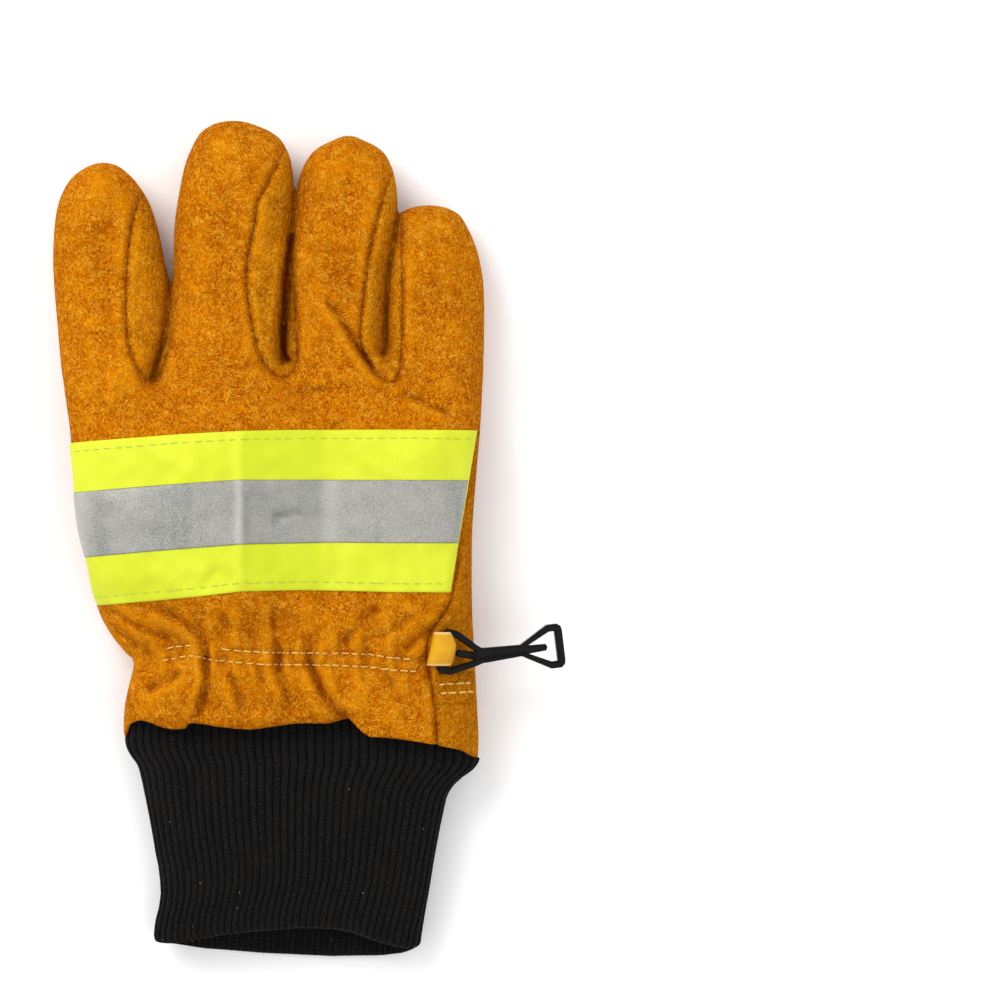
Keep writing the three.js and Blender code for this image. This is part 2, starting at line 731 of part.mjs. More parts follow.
// The glove's leather: outer form less its hollow, cut off along the hem.
function hem_outline() {
  const side = half_width + hem_margin;
  const outline = hem_rows.map((row) => [row.across * half_width, hem_line - row.drop * hem_drop]);
  outline[0][0] = -side;
  outline[outline.length - 1][0] = side;
  outline.push([side, slit_top], [-side, slit_top]);
  return column(outline, under, sky);
}

let outer = hand_body(0, hand_start, hand_end, hand_facets);
let hollow = hand_body(-leather_wall, hand_start - leather_wall, hand_end - overrun, hollow_facets);
for (const name of names) {
  outer = outer.add(finger_body(fingers[name], 0, finger_facets, finger_places));
  hollow = hollow.add(
    finger_body(fingers[name], leather_wall, finger_hollow_facets, hollow_places),
  );
}
for (const slit of slits) {
  const side = finger_gap / 2;
  outer = outer.subtract(slit_sheet(slit, side, side, 0));
  hollow = hollow.subtract(slit_sheet(slit, side + leather_wall, side + leather_wall, leather_wall));
}
const leather = outer.intersect(hem_outline()).subtract(hollow);

const thumb_outer = thumb_body(0, thumb_facets);
const thumb_clearance = thumb_body(-piece_gap, thumb_facets);
const thumb_solid = main_body(
  thumb_outer.subtract(thumb_body(leather_wall, thumb_facets)).subtract(hollow),
);

const side_panels = slits.map((slit, k) => main_body(leather.intersect(side_region(k, 0))));
const gusset_solid = main_body(leather.intersect(gusset_region(0)));
let skins = leather.subtract(gusset_region(piece_gap)).subtract(thumb_clearance);
slits.forEach((slit, k) => {
  skins = skins.subtract(side_region(k, piece_gap));
});
const back_solid = main_body(skins.intersect(upper_region(piece_gap / 2)));
const palm_solid = main_body(skins.subtract(upper_region(-piece_gap / 2)));

// Layers that lie on the back: a sheet of one thickness over the leather, within a plan outline.
function layer(gap, thickness, region) {
  const over = hand_body(gap + thickness, hand_start, hand_end, hand_facets);
  const under = hand_body(gap, hand_start, hand_end, hand_facets);
  return region.intersect(over.subtract(under));
}

const band_overhang = 6;
const sag_power = 1.6;
function band_outline(top, width) {
  const outline = [];
  const steps = 8;
  const side = half_width + band_overhang;
  const sag = (u) => band_sag * Math.max(0, -u) ** sag_power;
  for (let k = 0; k <= steps; k += 1) {
    const u = -1 + (2 * k) / steps;
    outline.push([u * side, top - sag(u) - width]);
  }
  for (let k = steps; k >= 0; k -= 1) {
    const u = -1 + (2 * k) / steps;
    outline.push([u * side, top - sag(u)]);
  }
  return column(outline, 0, sky);
}

const back_side = upper_region(piece_gap / 2).subtract(gusset_region(piece_gap));
const band_solid = main_body(
  layer(piece_gap, band_thickness, band_outline(band_top, band_width).intersect(back_side)),
);
const stripe_top = band_top - (band_width - stripe_width) / 2;
const stripe_solid = main_body(
  layer(
    2 * piece_gap + band_thickness,
    stripe_thickness,
    band_outline(stripe_top, stripe_width).intersect(back_side),
  ),
);

// The knitted wrist: ribbed outside, plain inside, its mouth cut on a slant.
const cuff_power = 2.6;
const cuff_sink = 0.6;
const mouth_zone = 0.9;
const mouth_level = 0.35;
const hollow_facets_round = 36;
const mouth_overrun = 4;
function cuff_body(inset, rounds, ribs) {
  const start = hem_line + cuff_tuck - hem_drop;
  const rings = cuff_rows.map((row) => {
    const ring = [];
    const half = (cuff_width * row.breadth) / 2 - inset;
    const rise = (cuff_height * row.thickness) / 2 - inset;
    const x = cuff_across + cuff_width * row.middle;
    const z = row.floor + rise + inset - cuff_sink;
    for (let k = 0; k < rounds; k += 1) {
      const [across, up] = rounded((2 * Math.PI * (k + 0.5)) / rounds, cuff_power);
      const groove = ribs && k % 2 === 1 ? rib_depth : 0;
      const share = Math.max(0, z + up * (rise - groove) - row.floor) / cuff_height;
      const slope = row.along > mouth_zone ? mouth_slope * (share - mouth_level) : 0;
      const y = start - row.along * cuff_length + slope;
      const point_z = Math.max(z + up * (rise - groove), row.floor + inset);
      ring.push(new THREE.Vector3(x + across * (half - groove), y, point_z));
    }
    return ring;
  });
  if (!ribs) {
    const moved = (ring, by) => ring.map((point) => point.clone().setY(point.y + by));
    const first = moved(rings[0], mouth_overrun);
    const last = moved(rings[rings.length - 1], -mouth_overrun);
    return loft([first, ...rings, last]);
  }
  return loft(rings);
}
const cuff_room = hand_body(-leather_wall - piece_gap, hand_start, hand_end, hollow_facets);
const free_knit = { from: wrist_line - 2, to: wrist_line - 2 * cuff_length, side: hand_width };
const outside_hem = column(
  [
    [-free_knit.side, free_knit.to],
    [free_knit.side, free_knit.to],
    [free_knit.side, free_knit.from],
    [-free_knit.side, free_knit.from],
  ],
  under,
  sky,
);
const cuff_solid = main_body(
  cuff_body(0, 2 * rib_count, true)
    .intersect(cuff_room.add(outside_hem))
    .subtract(cuff_body(knit_wall, hollow_facets_round, false))
    .subtract(hem_outline().intersect(outer.subtract(hollow))),
);

// The hanging loop: a strap round the clip's bar, its ends sewn into the side strip's seam.
const loop_section = hand_section(loop_place);
const loop_height = clip_thickness + 2 * piece_gap + 2 * loop_wall;
const loop_x = loop_section.right - loop_inset;
const aside = 3;
const loop_slope = (hand_top(loop_section, loop_x + aside) - hand_top(loop_section, loop_x - aside))
  / (2 * aside);
const loop_lean = 0.5;
const loop_z = hand_top(loop_section, loop_x) + piece_gap + loop_height / 2 + loop_seat;

function racetrack(path, reach, height) {
  const radius = height / 2;
  const straight = reach / 2 - radius;
  path.absarc(straight, 0, radius, -Math.PI / 2, Math.PI / 2, false);
  path.absarc(-straight, 0, radius, Math.PI / 2, (3 * Math.PI) / 2, false);
  return path;
}

function hanging_loop() {
  const outline = racetrack(new THREE.Shape(), loop_reach, loop_height);
  outline.holes.push(racetrack(new THREE.Path(), loop_reach - 2 * loop_wall, loop_height - 2 * loop_wall));
  const geometry = new THREE.ExtrudeGeometry(outline, {
    depth: loop_width,
    bevelEnabled: false,
    curveSegments: 7,
  });
  geometry.translate(0, 0, -loop_width / 2);
  geometry.rotateX(Math.PI / 2);
  geometry.rotateY(-Math.atan(loop_slope) * loop_lean);
  geometry.translate(loop_x, loop_place, loop_z);
  return solid_from_geometry(geometry);
}

// The clip: a flat moulded bar with a three-sided eye and an inner tongue at each end.
function clip_eye(side) {
  const bar = clip_length / 2;
  const inner = bar - clip_bar;
  const half = loop_width / 2 + piece_gap;
  const turn = inner - loop_wall - 2 * piece_gap;
  const neck = bar - clip_eye_length;
  const tongue = neck + clip_tongue_length;
  const waist = clip_tongue_width / 2;
  const corners = [
    [inner, -half],
    [inner, half],
    [turn, half],
    [neck + clip_arm, waist + clip_tongue_taper],
    [tongue, waist],
    [tongue, -waist],
    [neck + clip_arm, -waist - clip_tongue_taper],
    [turn, -half],
  ];
  return new THREE.Path(corners.map(([u, v]) => new THREE.Vector2(side * u, side * v)));
}

function clip_body() {
  const bar = clip_length / 2;
  const half = loop_width / 2 + piece_gap + clip_arm;
  const turn = bar - clip_bar - loop_wall - 2 * piece_gap;
  const neck = bar - clip_eye_length;
  const waist = clip_body_width / 2;
  const corner = clip_arm;
  const quarter = [
    [neck, waist],
    [turn, half],
    [bar - corner, half],
    [bar, half - corner],
  ];
  const outline = [
    ...quarter,
    ...quarter.map(([u, v]) => [u, -v]).reverse(),
    ...quarter.map(([u, v]) => [-u, -v]),
    ...quarter.map(([u, v]) => [-u, v]).reverse(),
  ];
  const shape = new THREE.Shape(outline.map(([u, v]) => new THREE.Vector2(u, v)));
  shape.holes.push(clip_eye(1), clip_eye(-1));
  const geometry = new THREE.ExtrudeGeometry(shape, {
    depth: clip_thickness - 2 * clip_bevel,
    bevelThickness: clip_bevel,
    bevelSize: clip_bevel,
    bevelOffset: -clip_bevel,
    bevelSegments: 1,
  });
  geometry.translate(bar - clip_bar / 2, 0, clip_bevel - clip_thickness / 2);
  geometry.rotateY((clip_droop_degrees * Math.PI) / 180);
  const bar_shift = loop_reach / 2 - loop_wall - piece_gap - clip_bar / 2;
  geometry.translate(loop_x + bar_shift, loop_place, loop_z + bar_shift * loop_slope * loop_lean);
  return solid_from_geometry(geometry);
}

// The patch that holds the loop's strap down on the side strip.
function strap_patch() {
  const top = loop_place - loop_width / 2 - patch_step;
  const right = hand_section(top - patch_width / 2).right;
  const outline = [
    [right - patch_length, top],
    [right - patch_length, top - patch_width],
    [right + half_width, top - patch_width],
    [right + half_width, top],
  ];
  return layer(piece_gap, patch_thickness, column(outline, loop_section.right_edge, sky));
}

const group = new THREE.Group();
function place(name, solid, material) {
  const { vertProperties, triVerts } = solid.getMesh();
  const geometry = new THREE.BufferGeometry();
  geometry.setAttribute('position', new THREE.BufferAttribute(new Float32Array(vertProperties), 3));
  geometry.setIndex(new THREE.BufferAttribute(new Uint32Array(triVerts), 1));
  geometry.computeVertexNormals();
  const mesh = new THREE.Mesh(geometry, material);
  mesh.name = name;
  group.add(mesh);
}

place('back_panel', back_solid, suede);
place('palm_panel', palm_solid, suede);
place('fourchette_index_middle', side_panels[0], suede);
place('fourchette_middle_ring', side_panels[1], suede);
place('fourchette_ring_little', side_panels[2], suede);
place('side_gusset', gusset_solid, suede);
place('thumb', thumb_solid, suede);
place('band_lime', band_solid, lime);
place('band_silver', stripe_solid, silver);
place('knit_cuff', cuff_solid, knit);
place('hang_loop', hanging_loop(), yellow_leather);
place('strap_patch', main_body(strap_patch()), suede);
place('snap_clip', clip_body(), black_plastic);

export default group;
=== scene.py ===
import itertools
import math

import bpy
import numpy as np
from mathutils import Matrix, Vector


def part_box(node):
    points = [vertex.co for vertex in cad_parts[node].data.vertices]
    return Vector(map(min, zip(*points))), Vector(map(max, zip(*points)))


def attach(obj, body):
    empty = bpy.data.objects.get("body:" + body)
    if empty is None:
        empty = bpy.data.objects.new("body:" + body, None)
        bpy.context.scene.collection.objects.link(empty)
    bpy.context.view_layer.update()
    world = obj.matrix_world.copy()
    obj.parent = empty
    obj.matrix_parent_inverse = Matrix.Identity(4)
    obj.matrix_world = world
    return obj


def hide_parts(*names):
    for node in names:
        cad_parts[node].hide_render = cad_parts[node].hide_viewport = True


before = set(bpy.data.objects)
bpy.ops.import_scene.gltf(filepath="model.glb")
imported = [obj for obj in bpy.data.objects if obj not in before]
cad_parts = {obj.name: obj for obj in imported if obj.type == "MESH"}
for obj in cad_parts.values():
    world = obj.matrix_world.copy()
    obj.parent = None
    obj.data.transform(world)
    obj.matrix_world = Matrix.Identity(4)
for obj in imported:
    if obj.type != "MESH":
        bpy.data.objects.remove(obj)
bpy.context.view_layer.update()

import openvdb
from mathutils import Matrix, Vector

# A right-hand firefighter glove lying on its palm. Lengths below are millimetres in the part's frame,
# and become metres where a mesh is made.
MM = 0.001

# Camera: straight above, at the distance that gives the picture's scale
CAMERA_HEIGHT = 1200.0
PICTURE_WIDTH = 312.5
PICTURE_CENTRE = (72.5, 4.7)
PICTURE_PLANE = 16.0
PIXEL = 0.3125
PIXEL_ORIGIN = (268.0, 515.0)

# Driving sizes, as in the solids
HAND_WIDTH = 131.0
HALF = HAND_WIDTH / 2
HAND_LENGTH = 114.0
BACK_HEIGHT = 29.0
THUMB_SIDE_HEIGHT = 36.5
CROTCH = 42.0
WRIST_LINE = CROTCH - HAND_LENGTH
HEM_DROP = 12.0
WALL = 2.6
THUMB = dict(length=67.0, width=37.0, depth=16.2, root=-38.0, across=-0.58)
CUFF = dict(length=76.0, height=22.0, tuck=16.0, wall=2.4)
BAND = dict(gap=0.12, thickness=0.45, stripe_gap=0.05, stripe=0.22)

# The smallest body of a surface that is kept, in points
LEAST_POINTS = 400
# Panels: clearance to the thumb, overlap at the seams, rounding of the edges, half height of the strips
# that run between the fingers and down the little finger's side
GAP = 0.04
LAP = 0.4
ROUND = 0.2
STRIP_HALF = 3.4
GUSSET_HALF = 7.0
# Slits between the fingers: half their width, how steeply the skin falls into them, width of the shade
# painted along them
SLIT_HALF = 0.2
SLIT_STEEP = 1.7
SLIT_SHADES = (0.5, 0.6, 0.5)
# How far in from the outline the full height is reached, and where in y hand turns into finger
HAND_REACH = 27
FINGER_REACH = 14.2
THUMB_REACH = 14.0
REACH_BLEND = (-2, 56)
HEIGHT_BLEND = (16, 54)
# Heights of a finger's back, edge and palm as shares of its depth
FINGER_SHARES = (0.95, 0.43, -0.07)
TIP_RISE = 1.1
# How far the palm would go below the floor, so that it rests flat
PALM_SINK = 1.6
FLOOR_ROUND = 1.2
# Deepest that creases press in, and the middles of the gathers and of their fine puckers in y
DEEPEST = 4.2
GATHER_LINE = -44.0625
PUCKER_LINE = -44.375

# Columns: along, drift, breadth
FINGERS = {
    "index": dict(length=67.5, width=36.3, depth=24.0, root=-0.765, lift=14.0, rows=[
        (-0.35, 0.12, 0.74), (-0.21, 0.08, 0.76), (0, 0.02, 0.78), (0.06, 0.02, 0.82),
        (0.2, 0.027, 0.905), (0.4, 0.024, 0.985), (0.47, 0.015, 0.99), (0.56, -0.006, 0.962),
        (0.7, -0.027, 0.897), (0.82, -0.046, 0.795), (0.9, -0.058, 0.65), (0.96, -0.062, 0.475),
        (1, -0.05, 0.26)]),
    "middle": dict(length=80.6, width=36.9, depth=25.0, root=-0.236, lift=5.0, rows=[
        (0, 0, 1.1), (0.05, 0.005, 1.06), (0.15, 0.025, 1), (0.35, 0.085, 0.98), (0.6, 0.115, 1),
        (0.75, 0.145, 0.965), (0.86, 0.16, 0.885), (0.93, 0.163, 0.75), (0.97, 0.142, 0.6),
        (1, 0.115, 0.34)]),
    "ring": dict(length=76.0, width=32.2, depth=24.0, root=0.336, lift=0.0, rows=[
        (0, 0, 1.06), (0.1, -0.035, 1.02), (0.3, -0.025, 0.97), (0.52, 0.015, 1), (0.72, 0.073, 0.99),
        (0.85, 0.078, 0.92), (0.92, 0.085, 0.78), (0.965, 0.09, 0.59), (1, 0.09, 0.24)]),
    "little": dict(length=54.2, width=31.0, depth=22.0, root=0.805, lift=0.0, rows=[
        (-0.26, -0.03, 0.91), (0, 0, 0.93), (0.16, -0.025, 1), (0.4, -0.02, 1), (0.58, -0.02, 0.975),
        (0.73, -0.025, 0.89), (0.84, -0.035, 0.775), (0.92, -0.06, 0.68), (0.965, -0.08, 0.62),
        (1, -0.085, 0.42)]),
}
ORDER = ["index", "middle", "ring", "little"]

# Slits' middle lines. Columns: up, across
SLITS = [
    [(0.006, -0.547), (0.18, -0.5), (0.36, -0.471), (0.5, -0.476), (0.66, -0.503), (1.1, -0.56)],
    [(0.07, 0.066), (0.24, 0.067), (0.4, 0.095), (0.63, 0.114), (0.78, 0.131), (1.1, 0.155)],
    [(0.12, 0.558), (0.29, 0.5625), (0.4, 0.57), (0.52, 0.59), (0.74, 0.628), (1.1, 0.645)],
]

# Columns: down, left, right, left_crown, right_crown, left_edge, right_edge, lift
HAND_ROWS = [
    (-0.105, 0.985, 1.03, 0.78, 0.8, 0.66, 0.4, 0.4), (0, 0.966, 1.024, 0.88, 0.89, 0.72, 0.42, 0.75),
    (0.1, 0.938, 1.016, 0.95, 0.97, 0.84, 0.44, 1), (0.25, 0.907, 0.995, 1, 1, 0.92, 0.46, 1),
    (0.4, 0.88, 0.975, 1, 1.01, 0.92, 0.46, 1), (0.5, 0.844, 0.972, 0.97, 1, 0.8, 0.46, 0.72),
    (0.574, 0.828, 0.972, 0.92, 0.99, 0.64, 0.45, 0.35), (0.65, 0.782, 0.975, 0.84, 0.96, 0.5, 0.44, 0.08),
    (0.72, 0.722, 0.982, 0.76, 0.91, 0.44, 0.42, 0), (0.766, 0.645, 0.986, 0.72, 0.88, 0.42, 0.41, 0),
    (0.81, 0.655, 0.99, 0.72, 0.89, 0.42, 0.41, 0), (0.9, 0.69, 0.998, 0.73, 0.92, 0.42, 0.42, 0),
    (1, 0.69, 1.004, 0.72, 0.92, 0.42, 0.42, 0), (1.12, 0.66, 0.99, 0.7, 0.9, 0.42, 0.42, 0)]

# Columns: along, breadth, thickness, rise
THUMB_ROWS = [
    (-0.1, 0.3, 0.35, 0.35), (0, 0.62, 0.62, 0.12), (0.12, 0.86, 0.86, 0), (0.3, 1, 1, 0), (0.6, 0.98, 1, 0),
    (0.8, 0.86, 0.94, 0), (0.92, 0.64, 0.78, 0), (0.98, 0.4, 0.5, 0), (1, 0.2, 0.25, 0.08)]

# Columns: along, thickness, floor
CUFF_ROWS = [(0, 0.8, 3.2), (0.27, 0.88, 2.9), (0.36, 0.96, 0.8), (0.6, 1, 0), (0.91, 1, 0), (1, 0.98, 0)]

# Seams and hem as seen from above, in picture pixels
SEAM_INDEX_MIDDLE = [
    (151.5, 384), (146, 377), (141, 370), (134, 352), (129.5, 332), (128, 305), (128, 276), (130, 252),
    (132, 229), (137, 206), (141, 197), (146, 186), (160, 190), (171, 250), (173, 288), (172.5, 313),
    (170, 340), (167, 360), (163, 374), (156, 381)]
SEAM_MIDDLE_RING = [
    (282, 150), (279, 164.5), (272, 176), (266, 191), (258.5, 203), (257, 223), (253, 241), (248, 264),
    (248, 288), (251, 311), (256, 335), (258.5, 349), (266, 367), (278, 377), (288, 379), (295.5, 370),
    (298, 358), (297.5, 335), (295, 305), (293.5, 276), (292.5, 247), (294, 217), (296, 197), (297, 146),
    (290, 140)]
SEAM_RING_LITTLE = [
    (390.5, 172), (386, 188), (382, 203), (376, 226), (371.5, 247), (367, 276), (364, 299.5), (361, 323),
    (361, 343), (366, 358), (374.4, 373), (384, 380), (392, 384), (397, 380), (401, 370), (401, 358),
    (403, 335), (403, 305), (403, 276), (401, 247), (401, 223), (403, 212), (400, 196), (398, 172)]
SEAM_GUSSET = [
    (481, 425), (479, 430), (466, 511), (453, 592), (449.5, 603), (440, 618), (430, 631), (427, 645),
    (427, 657), (429.5, 673), (434.8, 697), (437.5, 744), (440, 830), (560, 830), (560, 425)]
HEM = [
    (40, 770), (118, 745), (126, 736), (130, 724), (141, 719.5), (150, 721), (163.6, 726), (175.7, 728),
    (189, 727), (189.7, 721.5), (201, 721.5), (224, 725.5), (250.6, 728), (277, 724.5), (300, 721.5),
    (330, 721.5), (350, 716.5), (356, 722.5), (364, 731), (370.5, 735), (397, 737), (417, 740), (436, 743.5),
    (460, 749), (478, 760), (560, 790)]

# Creases and folds: depth, width, lip height and side (+1 is to the left of the way it runs), darkness of
# the shade painted along it, line. The last six are where the side panels fold over at the crotches and
# where the band is pressed in
CREASES = [
    (3, 1.3, 2.2, -1, 0.77, [(323, 293), (331, 304), (344.5, 323.4), (358.3, 347), (366, 359), (378, 372.8),
     (392, 379.8)]),
    (1.9, 1.2, 0.7, -1, 0.59, [(399, 391), (410, 396), (426, 403), (440, 409), (455, 417)]),
    (1.4, 1.4, 0.4, 1, 0.42, [(290, 389), (305, 391), (325, 390), (345, 388), (362, 384)]),
    (2.6, 1.3, 1.7, -1, 0.56, [(148, 601), (166.6, 609), (185.3, 619.5), (198.6, 629), (206.5, 638),
     (209.5, 650), (210, 665), (209, 683.7), (204, 704), (198, 716), (191, 728)]),
    (1.7, 1.2, 0.8, 1, 0.45, [(106, 605), (120.8, 614), (134, 622), (143.6, 626), (157, 631.5), (170, 637),
     (177, 641)]),
    (1.8, 1.3, 0.8, 1, 0.42, [(108, 624), (115.4, 629), (127.5, 637), (138, 643.6), (147.6, 649),
     (151.6, 662)]),
    (2.2, 1.4, 0.7, 1, 0.55, [(186.4, 667.7), (175.7, 675.7), (165, 681), (153, 686.4), (143.6, 690.4)]),
    (1.8, 1.3, 0.5, 1, 0.22, [(227, 608), (229, 623.5), (230, 635.5), (228, 647.6)]),
    (2.7, 1.4, 0.9, -1, 0.48, [(225, 646), (229, 662), (235, 679), (241.5, 693), (245, 705), (245, 716)]),
    (1.2, 1.3, 0.6, 1, 0.2, [(246, 600), (248, 612), (250.4, 630), (250.4, 654)]),
    (2.4, 1.4, 0.7, -1, 0.45, [(278, 597), (276, 623.5), (278, 646), (279.5, 659.6), (282, 675.7),
     (289, 691.8), (291, 708)]),
    (3.6, 1.5, 2.2, 1, 0.8, [(305, 648), (308.5, 655), (313, 665), (320.6, 682.4), (326, 694.5), (336.7, 708),
     (351.8, 720)]),
    (2.2, 1.4, 0.8, 1, 0.45, [(380, 602), (376.6, 608.7), (366.5, 619.5), (351.8, 631.5), (343.7, 646)]),
    (1.9, 1.3, 0.6, 1, 0.5, [(414, 612), (408, 619), (392, 629), (379, 638)]),
    (1.7, 1.3, 0.8, 1, 0.45, [(384, 668), (390, 678), (396, 690), (401, 706)]),
    (2.6, 1.4, 1, 1, 0.7, [(432, 626), (424, 634), (414, 642), (402, 650)]),
    (1.6, 1.3, 0.4, 1, 0.28, [(262, 660), (262, 676), (266, 690)]),
    (1, 1.3, 0.4, -1, 0.15, [(362, 662), (366, 672), (364, 684)]),
    (2.2, 1.1, 1, -1, 0, [(287, 262), (284, 290), (282.5, 310), (281, 330), (280, 348), (283, 360),
     (288.5, 361), (292, 353)]),
    (0.6, 0.8, 0.7, 1, 0, [(387, 262), (386, 300), (385.5, 330), (385, 353)]),
    (0.7, 0.8, 0.3, -1, 0, [(171, 292), (170, 316), (166, 340), (160, 358)]),
    (1.6, 1.2, 0.3, 1, 0.49, [(383, 356), (389, 362), (395, 372)]),
    (1.8, 1.4, 0.6, 1, 0, [(272, 519), (290, 516.5), (306, 513)]),
    (1, 1.5, 0.6, 1, 0, [(204, 592), (212, 579), (227, 565)])]
# Painted shade, along valleys, seams and the hem: darkness, width, line
SHADES = [
    (1, 1.15, [(291, 235), (287, 262), (284.5, 290), (283, 320), (282, 344), (285, 357), (290, 360)]),
    (0.4, 1.8, [(291, 285), (291, 320), (292, 350)]),
    (0.12, 3, [(378, 250), (374, 290), (371, 330), (376, 362)]),
    (0.45, 0.5, [(388, 262), (386, 300), (385.5, 330), (385, 353)]),
    (1, 0.9, [(382.5, 352.5), (386, 354)]),
    (0.14, 3.5, [(264, 158), (251, 200), (246, 238)]),
    (0.4, 2.6, [(160, 723), (200, 723), (250, 725), (300, 721), (345, 715)]),
    (0.2, 5, [(172, 704), (230, 702), (290, 700), (333, 702)]),
    (0.35, 1.8, [(424, 655), (424, 672), (426, 690)]),
    (0.35, 2.2, [(206, 690), (200, 706), (195, 716)]),
    (0.3, 1.8, [(286, 690), (292, 706), (294, 716)]),
    (0.5, 0.8, [(436, 624), (430, 634), (427.5, 645), (427.5, 658), (430, 674), (434, 690)]),
    (0.5, 0.5, [(171, 300), (170, 316), (166, 340), (159, 360), (153, 374)])]
# Soft swells between the gathers: height, width, line
SWELLS = [
    (1.3, 5, [(178, 668), (182, 690), (178, 712)]),
    (1, 5, [(222, 676), (224, 700), (220, 716)]),
    (1.2, 5, [(262, 668), (264, 690), (266, 712)]),
    (1, 4, [(304, 670), (312, 695), (322, 712)]),
    (1.6, 6, [(352, 668), (364, 690), (380, 712)]),
    (1, 5, [(140, 668), (138, 690), (150, 706)]),
    (1, 5, [(228, 608), (236, 625), (238, 640)]),
    (1, 5, [(300, 606), (318, 622), (322, 640)]),
    (0.8, 5, [(392, 606), (398, 614), (420, 612)]),
    (0.7, 1.5, [(243, 440), (243.5, 500), (244, 580)])]
GATHER_ROWS = [
    [(167.7, 647.6), (177, 645.6), (191.8, 644), (201, 643)],
    [(224, 647.6), (244, 649.6), (277.5, 651.6), (300, 651.6), (343.7, 652), (370.5, 653), (390.6, 656),
     (410.7, 658), (420, 659.6)],
    [(163, 659.6), (175.7, 657.6), (183.7, 655.6), (197, 654), (207.9, 657.6), (224, 659.6), (250.7, 662),
     (277.5, 663.4), (330, 663.7), (363.8, 665.3), (377, 666.6), (397, 669), (421, 670.4)]]

# The tapes' and the patch's edges across the back, from left to right
BAND_TOP = [
    (60, 445.2), (71.7, 444), (128, 439.6), (187, 435), (245, 431.7), (304, 430.5), (392, 430.2),
    (485, 430.5)]
STRIPE_TOP = [(60, 494.6), (75, 493), (157, 486), (242, 480), (333, 480), (485, 480.4)]
STRIPE_LOW = [(60, 559.2), (85.5, 557), (157, 550.5), (245, 543.7), (333, 542), (485, 543)]
BAND_LOW = [(60, 608.8), (100, 605), (157, 599.5), (204, 595), (245, 590), (304, 589), (392, 591), (485, 592)]
PATCH_TOP = [(400, 673), (434, 672.5), (485, 671)]
PATCH_LOW = [(400, 704), (434, 703), (485, 701.5)]


def plan(points):
    """Picture pixels to the part's plan, in millimetres."""
    return (np.array(points, float) - PIXEL_ORIGIN) * (PIXEL, -PIXEL)


def read(rows, column, at):
    """Smooth value of one column of a table, with its first column as the way along."""
    t = np.array(rows, float)
    keys, vals = t[:, 0], t[:, column]
    at = np.asarray(at, float)
    k = np.clip(np.searchsorted(keys, at) - 1, 0, len(keys) - 2)
    before, after = np.maximum(k - 1, 0), np.minimum(k + 2, len(keys) - 1)
    span = keys[k + 1] - keys[k]
    s = np.clip((at - keys[k]) / span, 0, 1)
    m0 = (vals[k + 1] - vals[before]) / (keys[k + 1] - keys[before]) * span
    m1 = (vals[after] - vals[k]) / (keys[after] - keys[k]) * span
    return ((2 * s**3 - 3 * s**2 + 1) * vals[k] + (s**3 - 2 * s**2 + s) * m0
            + (3 * s**2 - 2 * s**3) * vals[k + 1] + (s**3 - s**2) * m1)


def step(low, high, value):
    s = np.clip((value - low) / (high - low), 0, 1)
    return s * s * (3 - 2 * s)


def bell(value, width, power=2):
    return np.exp(-(np.abs(value / width) ** power))


def smooth_max(a, b, k):
    h = np.clip(0.5 + 0.5 * (a - b) / k, 0, 1)
    return b + (a - b) * h + k * h * (1 - h)


def lengths_along(points):
    return np.concatenate([[0], np.cumsum(np.linalg.norm(np.diff(points, axis=0), axis=1))])


def between(at, keys, table):
    """Rows of a table at places between its keys."""
    return np.stack([np.interp(at, keys, column) for column in table.T], -1)


# The grid that the leather is worked out on
CELL = 0.81
AXES = [np.arange(low, high + CELL, CELL, dtype=np.float32)
        for low, high in ((-74, 74), (-92, 127), (-2.5, 41))]
xs, ys, zs = AXES
GX, GY = np.meshgrid(xs, ys, indexing="ij")
Z3 = zs[None, None, :]


def stretches(starts, ends, gx, gy):
    """For each stretch of a line its start, its way, and where along it and how far off each place is."""
    for a, d in zip(starts, ends - starts):
        t = np.clip(((gx - a[0]) * d[0] + (gy - a[1]) * d[1]) / (d @ d + 1e-9), 0, 1)
        yield a, d, t, np.hypot(gx - a[0] - t * d[0], gy - a[1] - t * d[1])


def to_line(points, closed=False, at=None):
    """Distance to a line in plan, which side (+1 is left of its way) and how far along it (0 to 1)."""
    gx, gy = at or (GX, GY)
    p = np.asarray(points, float)
    starts, ends = (p, np.roll(p, -1, 0)) if closed else (p[:-1], p[1:])
    lengths = np.hypot(*(ends - starts).T)
    runs = np.cumsum(lengths) - lengths
    best = np.full(gx.shape, 1e9)
    side, along = np.zeros(gx.shape), np.zeros(gx.shape)
    for (a, d, t, away), length, run in zip(stretches(starts, ends, gx, gy), lengths, runs):
        near = away < best
        best = np.where(near, away, best)
        side = np.where(near, np.sign(d[0] * (gy - a[1]) - d[1] * (gx - a[0])), side)
        along = np.where(near, (run + t * length) / lengths.sum(), along)
    return best, side, along


def region(points, at=None):
    """Signed distance to a closed outline, negative inside."""
    gx, gy = at or (GX, GY)
    p = np.asarray(points, float)
    odd = np.zeros(gx.shape, bool)
    for (ax, ay), (bx, by) in zip(p, np.roll(p, -1, 0)):
        if ay != by:
            odd ^= ((ay > gy) != (by > gy)) & (gx < (bx - ax) * (gy - ay) / (by - ay) + ax)
    away = to_line(p, True, at)[0]
    return np.where(odd, -away, away)


def blur(field, width):
    """Gaussian blur of a plan field, width in millimetres."""
    n = max(1, int(3 * width / CELL))
    kernel = np.exp(-0.5 * (np.arange(-n, n + 1) * CELL / width) ** 2)
    kernel /= kernel.sum()
    for axis in (0, 1):
        wide = np.pad(field, [(n, n) if a == axis else (0, 0) for a in (0, 1)], mode="edge")
        size = field.shape[axis]
        field = sum(w * np.take(wide, np.arange(size) + k, axis) for k, w in enumerate(kernel))
    return field


